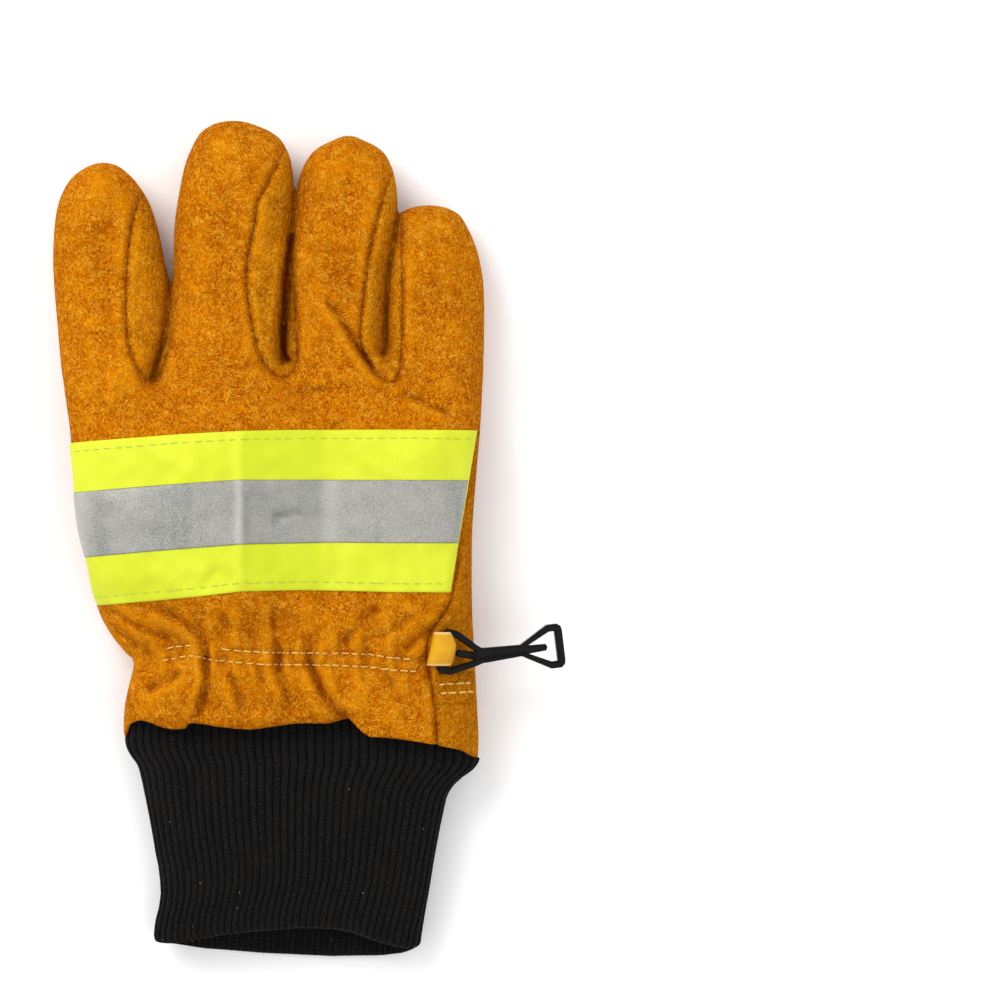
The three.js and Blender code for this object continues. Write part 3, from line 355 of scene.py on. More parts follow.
def waves(seed, count, long_wave, short_wave, stretch=1.0):
    """Seeded smooth unevenness in plan, about -1 to 1."""
    rng = np.random.default_rng(seed)
    total = np.zeros(GX.shape)
    for _ in range(count):
        wave = long_wave * (short_wave / long_wave) ** rng.random()
        angle = rng.random() * 2 * math.pi
        kx = math.cos(angle) * 2 * math.pi / wave
        ky = math.sin(angle) * 2 * math.pi / wave / stretch
        total += np.sin(kx * GX + ky * GY + rng.random() * 7)
    return total / math.sqrt(count / 2)


def rounded(points, closed=True):
    """A line with its corners cut off twice, so that it runs smoothly."""
    p = np.asarray(points, float)
    for _ in range(2):
        a, b = (p, np.roll(p, -1, 0)) if closed else (p[:-1], p[1:])
        cut = np.stack([0.75 * a + 0.25 * b, 0.25 * a + 0.75 * b], 1).reshape(-1, 2)
        p = cut if closed else np.concatenate([p[:1], cut, p[-1:]])
    return p


def sample_plan(field, points):
    """Value of a plan field at points."""
    fx = np.clip((points[:, 0] - xs[0]) / CELL, 0, len(xs) - 1.001)
    fy = np.clip((points[:, 1] - ys[0]) / CELL, 0, len(ys) - 1.001)
    i, j = fx.astype(int), fy.astype(int)
    u, v = fx - i, fy - j
    return (field[i, j] * (1 - u) * (1 - v) + field[i + 1, j] * u * (1 - v)
            + field[i, j + 1] * (1 - u) * v + field[i + 1, j + 1] * u * v)


def sample(field, points):
    """Value of a field of the whole grid at points."""
    f = [np.clip((points[..., k] - a[0]) / CELL, 0, len(a) - 1.001) for k, a in enumerate(AXES)]
    i = [v.astype(int) for v in f]
    t = [v - c for v, c in zip(f, i)]
    total = 0
    for a, b, c in itertools.product((0, 1), repeat=3):
        weight = (t[0] if a else 1 - t[0]) * (t[1] if b else 1 - t[1]) * (t[2] if c else 1 - t[2])
        total = total + weight * field[i[0] + a, i[1] + b, i[2] + c]
    return total


# Outlines in plan
def finger_at(name, along):
    """A finger's middle line in x and half its breadth."""
    f = FINGERS[name]
    return (f["root"] * HALF + read(f["rows"], 1, along) * f["width"],
            f["width"] * read(f["rows"], 2, along) / 2)


def hand_sides(y):
    down = (CROTCH - y) / HAND_LENGTH
    return -read(HAND_ROWS, 1, down) * HALF, read(HAND_ROWS, 2, down) * HALF


def slit_x(k, y):
    return read(SLITS[k], 1, (y - CROTCH) / FINGERS["middle"]["length"]) * HALF


def outline_of(first, second, y, tip=()):
    """A closed outline from its two sides and what joins them."""
    return np.concatenate([np.stack([first, y], 1), np.reshape(tip, (-1, 2)), np.stack([second, y], 1)[::-1]])


def finger_outline(name):
    along = np.linspace(-0.35, 1, 60)
    x, half = finger_at(name, along)
    y = CROTCH + along * FINGERS[name]["length"]
    cap = np.linspace(1, -1, 11)[1:-1]
    tip = np.stack([x[-1] + cap * half[-1], y[-1] + TIP_RISE * (1 - cap**2)], 1)
    return outline_of(x + half, x - half, y, tip)


hand_y = np.linspace(CROTCH + 6, -125, 90)
outlines = [outline_of(*hand_sides(hand_y), hand_y)] + [finger_outline(n) for n in ORDER]
parts = [region(o) for o in outlines]
whole = np.minimum.reduce(parts)

# True distance to the joined outline: only the stretches that no other outline covers count
away = np.full(GX.shape, 1e9)
for index, outline in enumerate(outlines):
    starts, ends = outline, np.roll(outline, -1, 0)
    others = np.minimum.reduce(parts[:index] + parts[index + 1:])
    bare = sample_plan(others, (starts + ends) / 2) > -0.05
    for *_, off in stretches(starts[bare], ends[bare], GX, GY):
        away = np.minimum(away, off)
edge = np.where(whole < 0, -away, away)
slit_ends = [CROTCH + s[0][0] * FINGERS["middle"]["length"] for s in SLITS]
slit_lines = []
for k in range(3):
    y = np.linspace(slit_ends[k], 118, 30)
    slit_lines.append(np.stack([slit_x(k, y), y], 1))
    edge = np.maximum(edge, SLIT_STEEP * (SLIT_HALF - to_line(slit_lines[k])[0]))

# Heights of the back, the edge and the palm, blended from the hand into each finger
share = [step(-1, 1, (GX - slit_x(k, GY)) / (0.3 + 11 * (1 - step(slit_ends[k] - 8, slit_ends[k] + 3, GY))))
         for k in range(3)]
weights = [1 - share[0], share[0] * (1 - share[1]), share[0] * share[1] * (1 - share[2]),
           share[0] * share[1] * share[2]]
finger = np.zeros((3,) + GX.shape)
for name, weight in zip(ORDER, weights):
    f = FINGERS[name]
    lift = f["lift"] * (1 - step(-0.3, 0.5, (GY - CROTCH) / f["length"]))
    finger += [weight * (lift + s * f["depth"]) for s in FINGER_SHARES]
down = (CROTCH - GY) / HAND_LENGTH
left_crown, right_crown, left_edge, right_edge, lifted = (read(HAND_ROWS, k, down) for k in range(3, 8))
left, right = hand_sides(GY)
u = np.clip(2 * (GX - left) / (right - left) - 1, -1, 1)
turn = step(-0.55, 0.45, u)
lift = lifted * (THUMB["depth"] + GAP)
over_thumb = 1 - step(-0.36, -0.1, GX / HALF)
hand = np.array([left_crown * THUMB_SIDE_HEIGHT * (1 - turn) + right_crown * BACK_HEIGHT * turn,
                 BACK_HEIGHT * (left_edge * (1 - u) + right_edge * (1 + u)) / 2,
                 lift * over_thumb - PALM_SINK * (1 - over_thumb * np.minimum(1, lift / THUMB["depth"]))])
top_z, edge_z, low_z = hand + (finger - hand) * step(*HEIGHT_BLEND, GY)

# Unevenness of soft leather, drawn together at the gathers
gathered = bell(GY - GATHER_LINE, 15.0)
top_z = top_z + 0.5 * waves(3, 14, 45, 18) + 0.16 * waves(4, 14, 12, 6)
top_z = top_z + gathered * 0.55 * waves(5, 12, 15, 6, 3.2)
top_z = top_z + bell(GY - PUCKER_LINE, 6.0) * 0.6 * waves(6, 12, 5.5, 3.4, 4.0)


def pillow(off, reach, middle, span):
    """About the signed distance to a pillow, from its plan distance and its heights over its middle."""
    reach = np.broadcast_to(reach, GX.shape)[:, :, None]
    q = np.maximum(0, 1 + off[:, :, None] / reach)
    w = (Z3 - middle[:, :, None]) / span
    r = np.sqrt(q * q + w * w)
    slope = np.sqrt((q / reach) ** 2 + (w / span) ** 2) / np.maximum(r, 1e-6)
    return (r - 1) / np.maximum(slope, 0.02)


rise = Z3 - edge_z[:, :, None]
span = np.where(rise > 0, (top_z - edge_z)[:, :, None], (edge_z - low_z)[:, :, None])
reach = HAND_REACH + (FINGER_REACH - HAND_REACH) * step(*REACH_BLEND, GY)
outer = pillow(blur(edge, 0.7), reach, edge_z, span).astype(np.float32)

# Creases, folds and stitch lines press into the back. Painted shade goes along them, along the slits and
# along the darker stretches
press = np.zeros(GX.shape)
mark = np.zeros(GX.shape)
for depth, width, lip, lip_side, dark, line in CREASES:
    away, side, along = to_line(rounded(plan(line), False))
    lipped = side == lip_side
    ends = step(0, 0.16, along) * step(0, 0.16, 1 - along) * (0.8 + 0.2 * np.sin(9 * along + 3 * depth))
    bank = np.where(lipped, bell(away, 1.3 * width), bell(away, 3.4 * width))
    press += ends * (depth * (0.72 * bell(away, 0.8 * width, 1.5) + 0.28 * bank)
                     - lip * lipped * bell(away - 2.0 * width, 1.4 * width))
    mark = np.maximum(mark, ends * dark * bell(away, 0.6 * width, 4))
for height, width, line in SWELLS:
    press -= height * bell(to_line(plan(line))[0], width)
for line in GATHER_ROWS:
    away = to_line(plan(line))[0]
    press += 0.7 * bell(away, 1.0)
    mark = np.maximum(mark, 0.25 * bell(away, 0.8))
for dark, width, line in SHADES:
    mark = np.maximum(mark, dark * bell(to_line(rounded(plan(line), False))[0], width, 4))
for line, width in zip(slit_lines, SLIT_SHADES):
    away = to_line(line)[0]
    press += 0.6 * bell(away, 1.0)
    mark = np.maximum(mark, 0.5 * bell(away, width, 4))
press = np.minimum(blur(press, 0.4), DEEPEST)
seams = [region(rounded(plan(s)))
         for s in (SEAM_INDEX_MIDDLE, SEAM_MIDDLE_RING, SEAM_RING_LITTLE, SEAM_GUSSET)]
within = step(0.3, 4.5, -edge)
for field in seams:
    press += within * (0.9 * bell(field, 0.8) - 0.35 * bell(np.abs(field) - 2.4, 1.4))
upper = step(0, 5, rise)
outer += (press[:, :, None] * upper).astype(np.float32)
for field in seams[:3]:
    outer += (0.6 * (within * bell(field, 1.2))[:, :, None] * (1 - upper)).astype(np.float32)
outer = smooth_max(outer, -Z3, FLOOR_ROUND).astype(np.float32)

hollow = outer + WALL
hem_field = region(np.concatenate([plan(HEM), [[120, 200], [-120, 200]]]))
shell = smooth_max(np.maximum(outer, -hollow), hem_field[:, :, None], 0.8).astype(np.float32)

# The folded thumb
along = np.linspace(-0.1, 1, 40)
thumb_half = THUMB["width"] * read(THUMB_ROWS, 1, along) / 2
thumb_x = THUMB["across"] * HALF
thumb_y = THUMB["root"] + along * THUMB["length"]
thumb_outline = outline_of(thumb_x + thumb_half, thumb_x - thumb_half, thumb_y)
at = np.clip((GY - THUMB["root"]) / THUMB["length"], -0.1, 1)
thumb_middle = THUMB["depth"] * (read(THUMB_ROWS, 3, at) + 0.47)
thumb_rise = THUMB["depth"] * np.maximum(read(THUMB_ROWS, 2, at), 0.6) / 2
thumb_outer = pillow(blur(region(thumb_outline), 0.9), THUMB_REACH, thumb_middle, thumb_rise[:, :, None])
thumb_outer = smooth_max(thumb_outer, -Z3, FLOOR_ROUND).astype(np.float32)


def side_strip(k):
    """The side panel where it hides between two fingers: a strip along their sides."""
    strip = np.full(outer.shape, 1e3, np.float32)
    for name, sign in ((ORDER[k], 1), (ORDER[k + 1], -1)):
        length = FINGERS[name]["length"]
        tip = CROTCH + 0.9 * length
        middle, half = finger_at(name, (GY - CROTCH) / length)
        own = np.maximum.reduce([slit_ends[k] - 2 - GY, GY - tip, half * 0.75 - sign * (GX - middle),
                                 sign * (GX - slit_x(k, GY))])
        height = STRIP_HALF * (1 - step(tip - 14, tip, GY) * 0.8)
        strip = np.minimum(strip, np.maximum(np.abs(rise) - height[:, :, None], own[:, :, None]))
    return strip


# Which panel is where
regions = [np.minimum(seams[k][:, :, None], side_strip(k)) for k in range(3)]
gusset_strip = np.maximum(np.abs(rise) - GUSSET_HALF,
                          np.maximum.reduce([GY - 25, HALF - 30 - GX, -GY - 130])[:, :, None])
regions.append(np.minimum(np.maximum(seams[3][:, :, None], -(rise + GUSSET_HALF)), gusset_strip))
rest = shell
for field in regions:
    rest = smooth_max(rest, -LAP / 2 - field, ROUND)
strips = ["fourchette_index_middle", "fourchette_middle_ring", "fourchette_ring_little", "side_gusset"]
panels = {name: smooth_max(shell, field - LAP / 2, ROUND) for name, field in zip(strips, regions)}
panels["back_panel"] = smooth_max(rest, -LAP / 2 - rise, ROUND)
panels["palm_panel"] = smooth_max(smooth_max(rest, rise - LAP / 2, ROUND), GAP - thumb_outer, 0.6)
panels["thumb"] = np.maximum(np.maximum(thumb_outer, -(thumb_outer + WALL)), -hollow)


# Meshes
def keep_large(count, faces, least):
    """Which faces belong to bodies of at least so many points."""
    label = np.arange(count)
    a, b = faces.reshape(-1), np.roll(faces, -1, 1).reshape(-1)
    for _ in range(400):
        low = np.minimum(label[a], label[b])
        new = label.copy()
        np.minimum.at(new, a, low)
        np.minimum.at(new, b, low)
        new = new[new]
        if (new == label).all():
            break
        label = new
    return np.bincount(label, minlength=count)[label[faces[:, 0]]] >= least


def surface(field, corner, cell):
    """Points and outward faces of a field's skin, without its crumbs."""
    grid = openvdb.FloatGrid(3.0)
    grid.copyFromArray(np.clip(field, -3, 3).astype(np.float32), tolerance=0.0)
    points, quads = grid.convertToQuads(0.0)
    points = points * cell + corner
    used, faces = np.unique(quads[keep_large(len(points), quads, LEAST_POINTS)], return_inverse=True)
    points, faces = points[used], faces.reshape(-1, 4)
    a, b, c = (points[faces[:, k]] for k in range(3))
    if (np.cross(b - a, c - a) * (a - points.mean(0))).sum() < 0:
        faces = faces[:, ::-1]
    return points, faces


def make_mesh(name, points, faces):
    mesh = bpy.data.meshes.new(name)
    mesh.from_pydata((np.asarray(points) * MM).tolist(), [], [list(map(int, f)) for f in faces])
    mesh.validate()
    mesh.polygons.foreach_set("use_smooth", [True] * len(mesh.polygons))
    mesh.update()
    obj = bpy.data.objects.new(name, mesh)
    bpy.context.scene.collection.objects.link(obj)
    return obj


def tube(name, rings, inward=False):
    """A mesh from rings that close on themselves, the last joined to the first."""
    index = np.arange(rings.shape[0] * rings.shape[1]).reshape(rings.shape[:2])
    below = np.roll(index, -1, 0)
    faces = np.stack([index, below, np.roll(below, -1, 1), np.roll(index, -1, 1)], -1).reshape(-1, 4)
    return make_mesh(name, rings.reshape(-1, 3), faces[:, [0, 3, 2, 1]] if inward else faces)


def give(obj, **attributes):
    """Values at the mesh's points, for its material."""
    for name, values in attributes.items():
        layer = obj.data.attributes.new(name, "FLOAT", "POINT")
        layer.data.foreach_set("value", np.asarray(values, np.float32))


# Height of the leather seen from above, for what is sewn on it and for the light and shade painted on it
solid = outer < 0
last = np.where(solid.any(2), len(zs) - 1 - np.argmax(solid[:, :, ::-1], 2), 0)
last = np.clip(last, 0, len(zs) - 2)
below, above = (np.take_along_axis(outer, last[:, :, None] + k, 2)[:, :, 0] for k in (0, 1))
height_map = zs[last] + CELL * np.clip(-below / (above - below + 1e-9), 0, 1)
covered = (edge < 0).astype(float)


def hollowness(width, depth):
    """How far the skin lies below its surroundings, -1 on ridges to 1 in valleys."""
    around = blur(height_map * covered, width) / np.maximum(blur(covered, width), 0.02)
    return np.clip((around - height_map) / depth, -1, 1)


# Painted light on the ridges and painted shade in the hollows, from how far the skin lies below its
# surroundings
valley = np.clip(0.6 * hollowness(1.5, 0.6) + 0.6 * hollowness(4.0, 2.0), -1, 1) * step(0.5, 8.0, -whole)
seam_marks = np.minimum.reduce([np.abs(f) for f in seams])
leather = {}
for name, field in panels.items():
    points, faces = surface(field, np.array([a[0] for a in AXES]), CELL)
    leather[name] = make_mesh("leather_" + name, points, faces)
    flat = points[:, :2]
    height = sample(rise.astype(np.float32), points)
    # Shade painted into the leather's colour along creases, slits and seams
    seam = bell(sample_plan(seam_marks, flat), 0.8) * (0.35 + 0.65 * sample_plan(within, flat))
    give(leather[name], crease=np.clip(sample_plan(mark, flat) * step(-4, 0.5, height) + 0.35 * seam, 0, 1),
         valley=sample_plan(valley, flat) * step(-1, 4, height), gather=sample_plan(gathered, flat))


def on_top(flat, offset):
    """Points over the leather's upper surface at plan points, and unit normals."""
    e = 0.8
    z = sample_plan(height_map, flat)
    slopes = [(sample_plan(height_map, flat + d) - sample_plan(height_map, flat - d)) / (2 * e)
              for d in (np.array([e, 0]), np.array([0, e]))]
    n = np.stack([-slopes[0], -slopes[1], np.ones(len(z))], 1)
    n /= np.linalg.norm(n, axis=1)[:, None]
    return np.concatenate([flat, z[:, None]], 1) + n * offset, n


def edge_y(line, x):
    p = plan(line)
    return np.interp(x, p[:, 0], p[:, 1])


# Rays that find the skin for the tapes: how far in from each side they fan out, how many there are to
# a row, their step and number of steps, and how far one goes that meets nothing
FAN = 19.0
RAYS = 260
RAY_STEP = 0.5
RAY_STEPS = 64
RAY_LIMIT = 30.0


def cast(y, way, level):
    """Where rays from the hand's inside meet its skin. way runs 0 to 3: left side, back, right side."""
    left, right = hand_sides(y)
    left, right = left + FAN, right - FAN
    ox = np.where(way < 1, left, np.where(way > 2, right, left + (right - left) * np.clip(way - 1, 0, 1)))
    angle = math.pi * np.where(way < 1, 0.99 - 0.49 * way, np.where(way > 2, (3 - way) / 2, 0.5))
    oz = sample_plan(edge_z, np.stack([ox.ravel(), y.ravel()], 1)).reshape(ox.shape)
    direction = np.stack([np.cos(angle), np.zeros(angle.shape), np.sin(angle)], -1)
    origin = np.stack([ox, y, oz], -1)
    hit = np.full(ox.shape, RAY_LIMIT)
    done = np.zeros(ox.shape, bool)
    previous = sample(outer, origin) - level
    for k in range(1, RAY_STEPS):
        value = sample(outer, origin + direction * (k * RAY_STEP)) - level
        part = previous / (previous - value + 1e-9)
        hit = np.where((value > 0) & ~done, (k - 1 + np.clip(part, 0, 1)) * RAY_STEP, hit)
        done |= value > 0
        previous = value
    return origin + direction * hit[..., None]


def wrapped(name, top, low, base, thickness, across, downs, right_end,
            left_end=lambda y: -HAND_WIDTH, soft=0.25):
    """A sheet over the back between two edge lines; its ends are functions of y giving x."""
    ways = np.linspace(0, 3, RAYS)
    v = np.linspace(0, 1, downs)[:, None]
    way = np.tile(ways, (downs, 1))
    y = np.tile(edge_y(top, 0) * (1 - v) + edge_y(low, 0) * v, (1, len(ways)))
    for _ in range(3):
        x = cast(y, way, base)[..., 0]
        y = edge_y(top, x) * (1 - v) + edge_y(low, x) * v
    layers = [cast(y, way, base), cast(y, way, base + thickness)]
    rows = [[], []]
    k = np.arange(len(ways))
    for j in range(downs):
        x = layers[0][j, :, 0]
        first, final = float(np.argmax(x > left_end(y[j]))), float(len(ways) - 1)
        limit = right_end(y[j])
        if (x > limit).any():
            i = int(np.argmax(x > limit))
            final = i - 1 + np.clip((limit[i] - x[i - 1]) / (x[i] - x[i - 1] + 1e-9), 0, 1)
        run = lengths_along(layers[1][j])
        at = np.interp(np.linspace(*np.interp([first, final], k, run), across), run, k)
        for row, layer in zip(rows, layers):
            row.append(between(at, k, layer[j]))
    under, over = np.array(rows)
    rim = np.ones((downs, across))
    rim[[0, -1], :] = 1 - soft
    rim[:, [0, -1]] = 1 - soft
    over = under + (over - under) * rim[..., None]
    n = downs * across
    index = np.arange(n).reshape(downs, across)
    grid = np.stack([index[:-1, :-1], index[1:, :-1], index[1:, 1:], index[:-1, 1:]], -1).reshape(-1, 4)
    ring = np.concatenate([index[0, :-1], index[:-1, -1], index[-1, :0:-1], index[:0:-1, 0]])
    after = np.roll(ring, -1)
    faces = np.concatenate([grid, grid[:, ::-1] + n, np.stack([ring, after, after + n, ring + n], -1)])
    return make_mesh(name, np.concatenate([over.reshape(-1, 3), under.reshape(-1, 3)]), faces), over


GUSSET_EDGE = plan([(479, 430), (466, 511), (453, 592), (440, 618)])


def seam_x(y):
    return np.interp(-y, -GUSSET_EDGE[:, 1], GUSSET_EDGE[:, 0]) - 0.8


band, band_skin = wrapped("tape_lime", BAND_TOP, BAND_LOW, BAND["gap"], BAND["thickness"], 190, 76, seam_x)
stripe_base = BAND["gap"] + BAND["thickness"] + BAND["stripe_gap"]
stripe, stripe_skin = wrapped("tape_silver", STRIPE_TOP, STRIPE_LOW, stripe_base, BAND["stripe"], 190, 34,
                              lambda y: seam_x(y) - 0.05, soft=0.5)
# The silver is painted darker along its top and bottom rows
border = np.zeros(stripe_skin.shape[:2])
border[[0, -1]] = 1
give(stripe, border=np.tile(border.ravel(), 2))
# Shade and highlights painted where the tapes are turned from the light or towards it, by picture column
for obj, skin in ((band, band_skin), (stripe, stripe_skin)):
    column = skin[..., 0].ravel() / PIXEL + PIXEL_ORIGIN[0]
    shine = bell(column - 243, 3.5) + 0.6 * bell(column - 332, 8) + 0.8 * bell(column - 85, 9)
    give(obj, dim=np.tile(step(243, 251, column) * (1 - step(318, 330, column)), 2), shine=np.tile(shine, 2))
patch, patch_skin = wrapped("patch_leather", PATCH_TOP, PATCH_LOW, 0.1, 0.6, 30, 18,
                            lambda y: hand_sides(y)[1] - 0.9, lambda y: 51.9 + 0.06 * (y + 54), 0.6)
plain = np.zeros(len(patch.data.vertices))
give(patch, crease=plain, gather=plain, valley=plain)

# Stitches. Stations of one stitch: place along it, share of its thickness
STATIONS = [(-0.5, 0.25), (-0.46, 0.65), (-0.34, 0.92), (0, 1), (0.34, 0.92), (0.46, 0.65), (0.5, 0.25)]
SIDES = 8
FLATTENED = 1.2
place, size = np.repeat(STATIONS, SIDES, 0).T
turn = np.tile(2 * math.pi * np.arange(SIDES) / SIDES, len(STATIONS))
stitch_points = np.stack([place, size * np.cos(turn) * FLATTENED, size * np.sin(turn)], 1)
index = np.arange(len(place)).reshape(-1, SIDES)
after = np.roll(index, -1, 1)
stitch_faces = np.stack([index[:-1], index[1:], after[1:], after[:-1]], -1).reshape(-1, 4).tolist()
stitch_faces += [index[0].tolist(), index[-1, ::-1].tolist()]


def stitches(name, rows, pitch, length, thick, rng):
    """Stitches along lines of surface points with their normals."""
    points, faces = [], []
    for line, normals in rows:
        run = lengths_along(line)
        k = np.arange(len(run))
        for at in np.arange(pitch * 0.5, run[-1] - length * 0.4, pitch):
            at = at + rng.normal(0, 0.06 * pitch)
            span = length * (1 + rng.normal(0, 0.08))
            where = np.interp([at - span / 2, at, at + span / 2], run, k)
            p, n = between(where, k, line), between(where[1], k, normals)
            way = p[2] - p[0]
            way /= np.linalg.norm(way) + 1e-9
            way = way + np.cross(n, way) * rng.normal(0, 0.07)
            way /= np.linalg.norm(way)
            n /= np.linalg.norm(n)
            axes = np.array([way * span, np.cross(way, n) * thick, n * thick])
            faces += [[i + len(points) for i in f] for f in stitch_faces]
            points += (p.mean(0) + stitch_points @ axes).tolist()
    return make_mesh(name, points, faces)


def skin_rows(skin, picks, offset):
    """Rows of a sheet's points, raised a little, with their normals."""
    n = np.cross(np.gradient(skin, axis=0), np.gradient(skin, axis=1))
    n *= np.sign(n[..., 2:3] + 1e-9)
    n /= np.linalg.norm(n, axis=-1, keepdims=True) + 1e-12
    return [(skin[row, cut] + n[row, cut] * offset, n[row, cut]) for row, cut in picks]


gather_lines = []
for line in GATHER_ROWS:
    run = lengths_along(plan(line))
    gather_lines.append(on_top(between(np.arange(0, run[-1], 0.4), run, plan(line)), 0.12))
rng = np.random.default_rng(11)
gather_stitches = stitches("stitches_gather", gather_lines, 3.3, 2.3, 0.21, rng)
band_lines = skin_rows(band_skin, [(4, slice(3, -2)), (71, slice(3, -2))], 0.05)
band_stitches = stitches("stitches_band", band_lines, 3.55, 2.3, 0.14, rng)
patch_lines = skin_rows(patch_skin, [(6, slice(1, -1)), (11, slice(2, -1))], 0.08)
patch_stitches = stitches("stitches_patch", patch_lines, 3.45, 2.6, 0.26, rng)

# The knitted wrist. Columns: picture row, left and right edge of the knit in pixels, and how much further
# out the outermost ribs flare on each side
KNIT_EDGES = [
    (700, 124, 466, 0, 10), (730, 129, 460, 6, 19), (742, 131, 457.5, 8.5, 23.5), (750, 132, 456, 7.5, 26),
    (758, 133.8, 454.3, 4.5, 27), (765, 136, 453, 0.8, 26), (772, 138, 451.6, 0, 21.5),
    (779, 139.5, 450, 0, 13), (786, 141, 448.6, 0, 7), (793, 142, 447, 0, 3.5), (800, 143.2, 445.6, 0, 1.8),
    (828, 147.8, 440.2, 0, 0.8), (856, 152.6, 435, 0, 0), (870, 156, 432.3, 0, 0), (884, 158, 430, 0, 0),
    (898, 158.8, 427.6, 0, 0), (912, 157, 425.3, 0, 0), (926, 153.3, 423.2, 0, 0), (940, 151.5, 421, 0, 0),
    (965, 153, 419, 0, 0)]
LIP_UPPER = [
    (150, 944), (170, 943), (195, 937), (225, 932), (256, 928.5), (297, 924.5), (332, 924.5), (355, 929),
    (373, 936), (402, 944), (424, 946)]
LIP_LOWER = [
    (150, 944), (175, 949), (200, 953.5), (260, 958.4), (330, 961.6), (380, 960.6), (405, 957), (424, 946)]
RIBS = 84
PER_RIB = 8
AROUND = RIBS * PER_RIB
RIB_DEPTH = 0.8
COURSE = 1.25
MOUTH_SAG = 0.28
LIP_ROUND = 1.3
LIP_RINGS = 6
OUTER_RINGS = 62
INNER_RINGS = 20
TUCKED_UNDER = 0.45
KNIT_END = -134.0
LEAST_Z = 0.02
knit_start = WRIST_LINE + 0.6 * HEM_DROP + CUFF["tuck"] - HEM_DROP
knit_table = np.array(KNIT_EDGES, float)
knit_rows = (knit_table[:, 0] - PIXEL_ORIGIN[1]) * PIXEL
knit_sides = (knit_table[:, 1:] - [PIXEL_ORIGIN[0], PIXEL_ORIGIN[0], 0, 0]) * PIXEL
phase = (np.arange(AROUND) % PER_RIB) / PER_RIB
rib = RIB_DEPTH * (np.sin(math.pi * phase) ** 0.65 - 1)


def knit_ring(y, inset, shift):
    """One ring of the knit, evenly spaced round from the left side: x, z and the outward way."""
    left, right, flare_left, flare_right = between(-y, knit_rows, knit_sides)
    left, right = left + inset, right - inset
    along = np.clip((knit_start - y) / CUFF["length"], 0, 1)
    base = read(CUFF_ROWS, 2, along)
    floor = base + inset
    top = base + CUFF["height"] * read(CUFF_ROWS, 1, along) * (0.985 - MOUTH_SAG * along**3) - inset
    a = np.linspace(math.pi, -math.pi, 721)
    c, s = np.cos(a), np.sin(a)
    ux, uz = np.sign(c) * np.abs(c) ** (2 / 2.5), np.sign(s) * np.abs(s) ** (2 / 2.3)
    middle = (top + floor) / 2 - 0.3
    skin = np.stack([(left + right) / 2 + ux * (right - left) / 2,
                     np.maximum(middle + uz * (top - middle), floor),
                     flare_right * ((1 + ux) / 2) ** 3.5 - flare_left * ((1 - ux) / 2) ** 3.5], 1)
    run = lengths_along(skin[:, :2])
    at = (np.arange(AROUND) / AROUND * run[-1] + shift) % run[-1]
    px, pz, spread = between(at, run, skin).T
    tx, tz, _ = (between((at + 0.3) % run[-1], run, skin) - between((at - 0.3) % run[-1], run, skin)).T
    size = np.hypot(tx, tz) + 1e-9
    return px + spread, pz, -tz / size, tx / size


def knit_layer(count, inset, outward, ribbed):
    """Rings of the outside, down to the mouth, or of the inside, back from it."""
    rings = []
    for t in np.arange(count) / (count - 1):
        t = t if outward > 0 else 1 - t
        px, pz, nx, nz = knit_ring(knit_start + (KNIT_END - knit_start) * t, inset,
                                   0.8 * math.sin(2.6 * t + 0.6) + 0.12 * math.sin(11 * t))
        height = pz / CUFF["height"]
        level = step(0.25, 0.75, height)
        lip = edge_y(LIP_LOWER, px) * (1 - level) + edge_y(LIP_UPPER, px) * level
        y = knit_start + (lip + LIP_ROUND - knit_start) * t
        wobble = 0.35 * np.sin(px / 9.0 + 4.0 * t) * np.sin(6.5 * t + px / 23.0)
        push = (rib * ribbed + wobble * (height > 0.2)) * outward
        rings.append(np.stack([px + nx * push, y, np.maximum(pz + nz * push, LEAST_Z + inset)], 1))
    return rings


outside = knit_layer(OUTER_RINGS, 0.0, 1, 1.0)
inside = knit_layer(INNER_RINGS, CUFF["wall"], -1, 0.8)
rim = []
for k in range(1, LIP_RINGS):
    a = math.pi * k / LIP_RINGS
    ring = (outside[-1] + inside[0]) / 2 + (outside[-1] - inside[0]) / 2 * math.cos(a)
    ring[:, 1] -= LIP_ROUND * math.sin(a)
    rim.append(ring)
rings = np.array(outside + rim + inside)
# Where it is tucked in, the knit stays inside the leather
for _ in range(6):
    e = 0.6
    slope = [sample(hollow, rings + d) - sample(hollow, rings - d) for d in np.eye(3) * e]
    slope = np.stack(slope, -1) / (2 * e)
    slope[..., 1] = 0
    slope /= np.linalg.norm(slope, axis=-1, keepdims=True) + 1e-6
    hem_there = sample_plan(hem_field, rings[..., :2].reshape(-1, 2)).reshape(rings.shape[:2])
    allowed = -TUCKED_UNDER + 9.0 * step(-2.5, 1.5, hem_there)
    over = np.clip(sample(hollow, rings) - allowed, 0, 2.0) * (hem_there < 1.5)
    rings = rings - slope * over[..., None]
    rings[..., 2] = np.maximum(rings[..., 2], LEAST_Z)
knit = tube("knit_wrist", rings)
# For the material: shade painted in the grooves between the ribs, and the place across each rib and along the
# knit
give(knit, groove=np.tile(-rib / RIB_DEPTH, len(rings)), wale=np.tile(phase, len(rings)),
     course=np.repeat(-rings[..., 1].mean(1) / COURSE, AROUND))

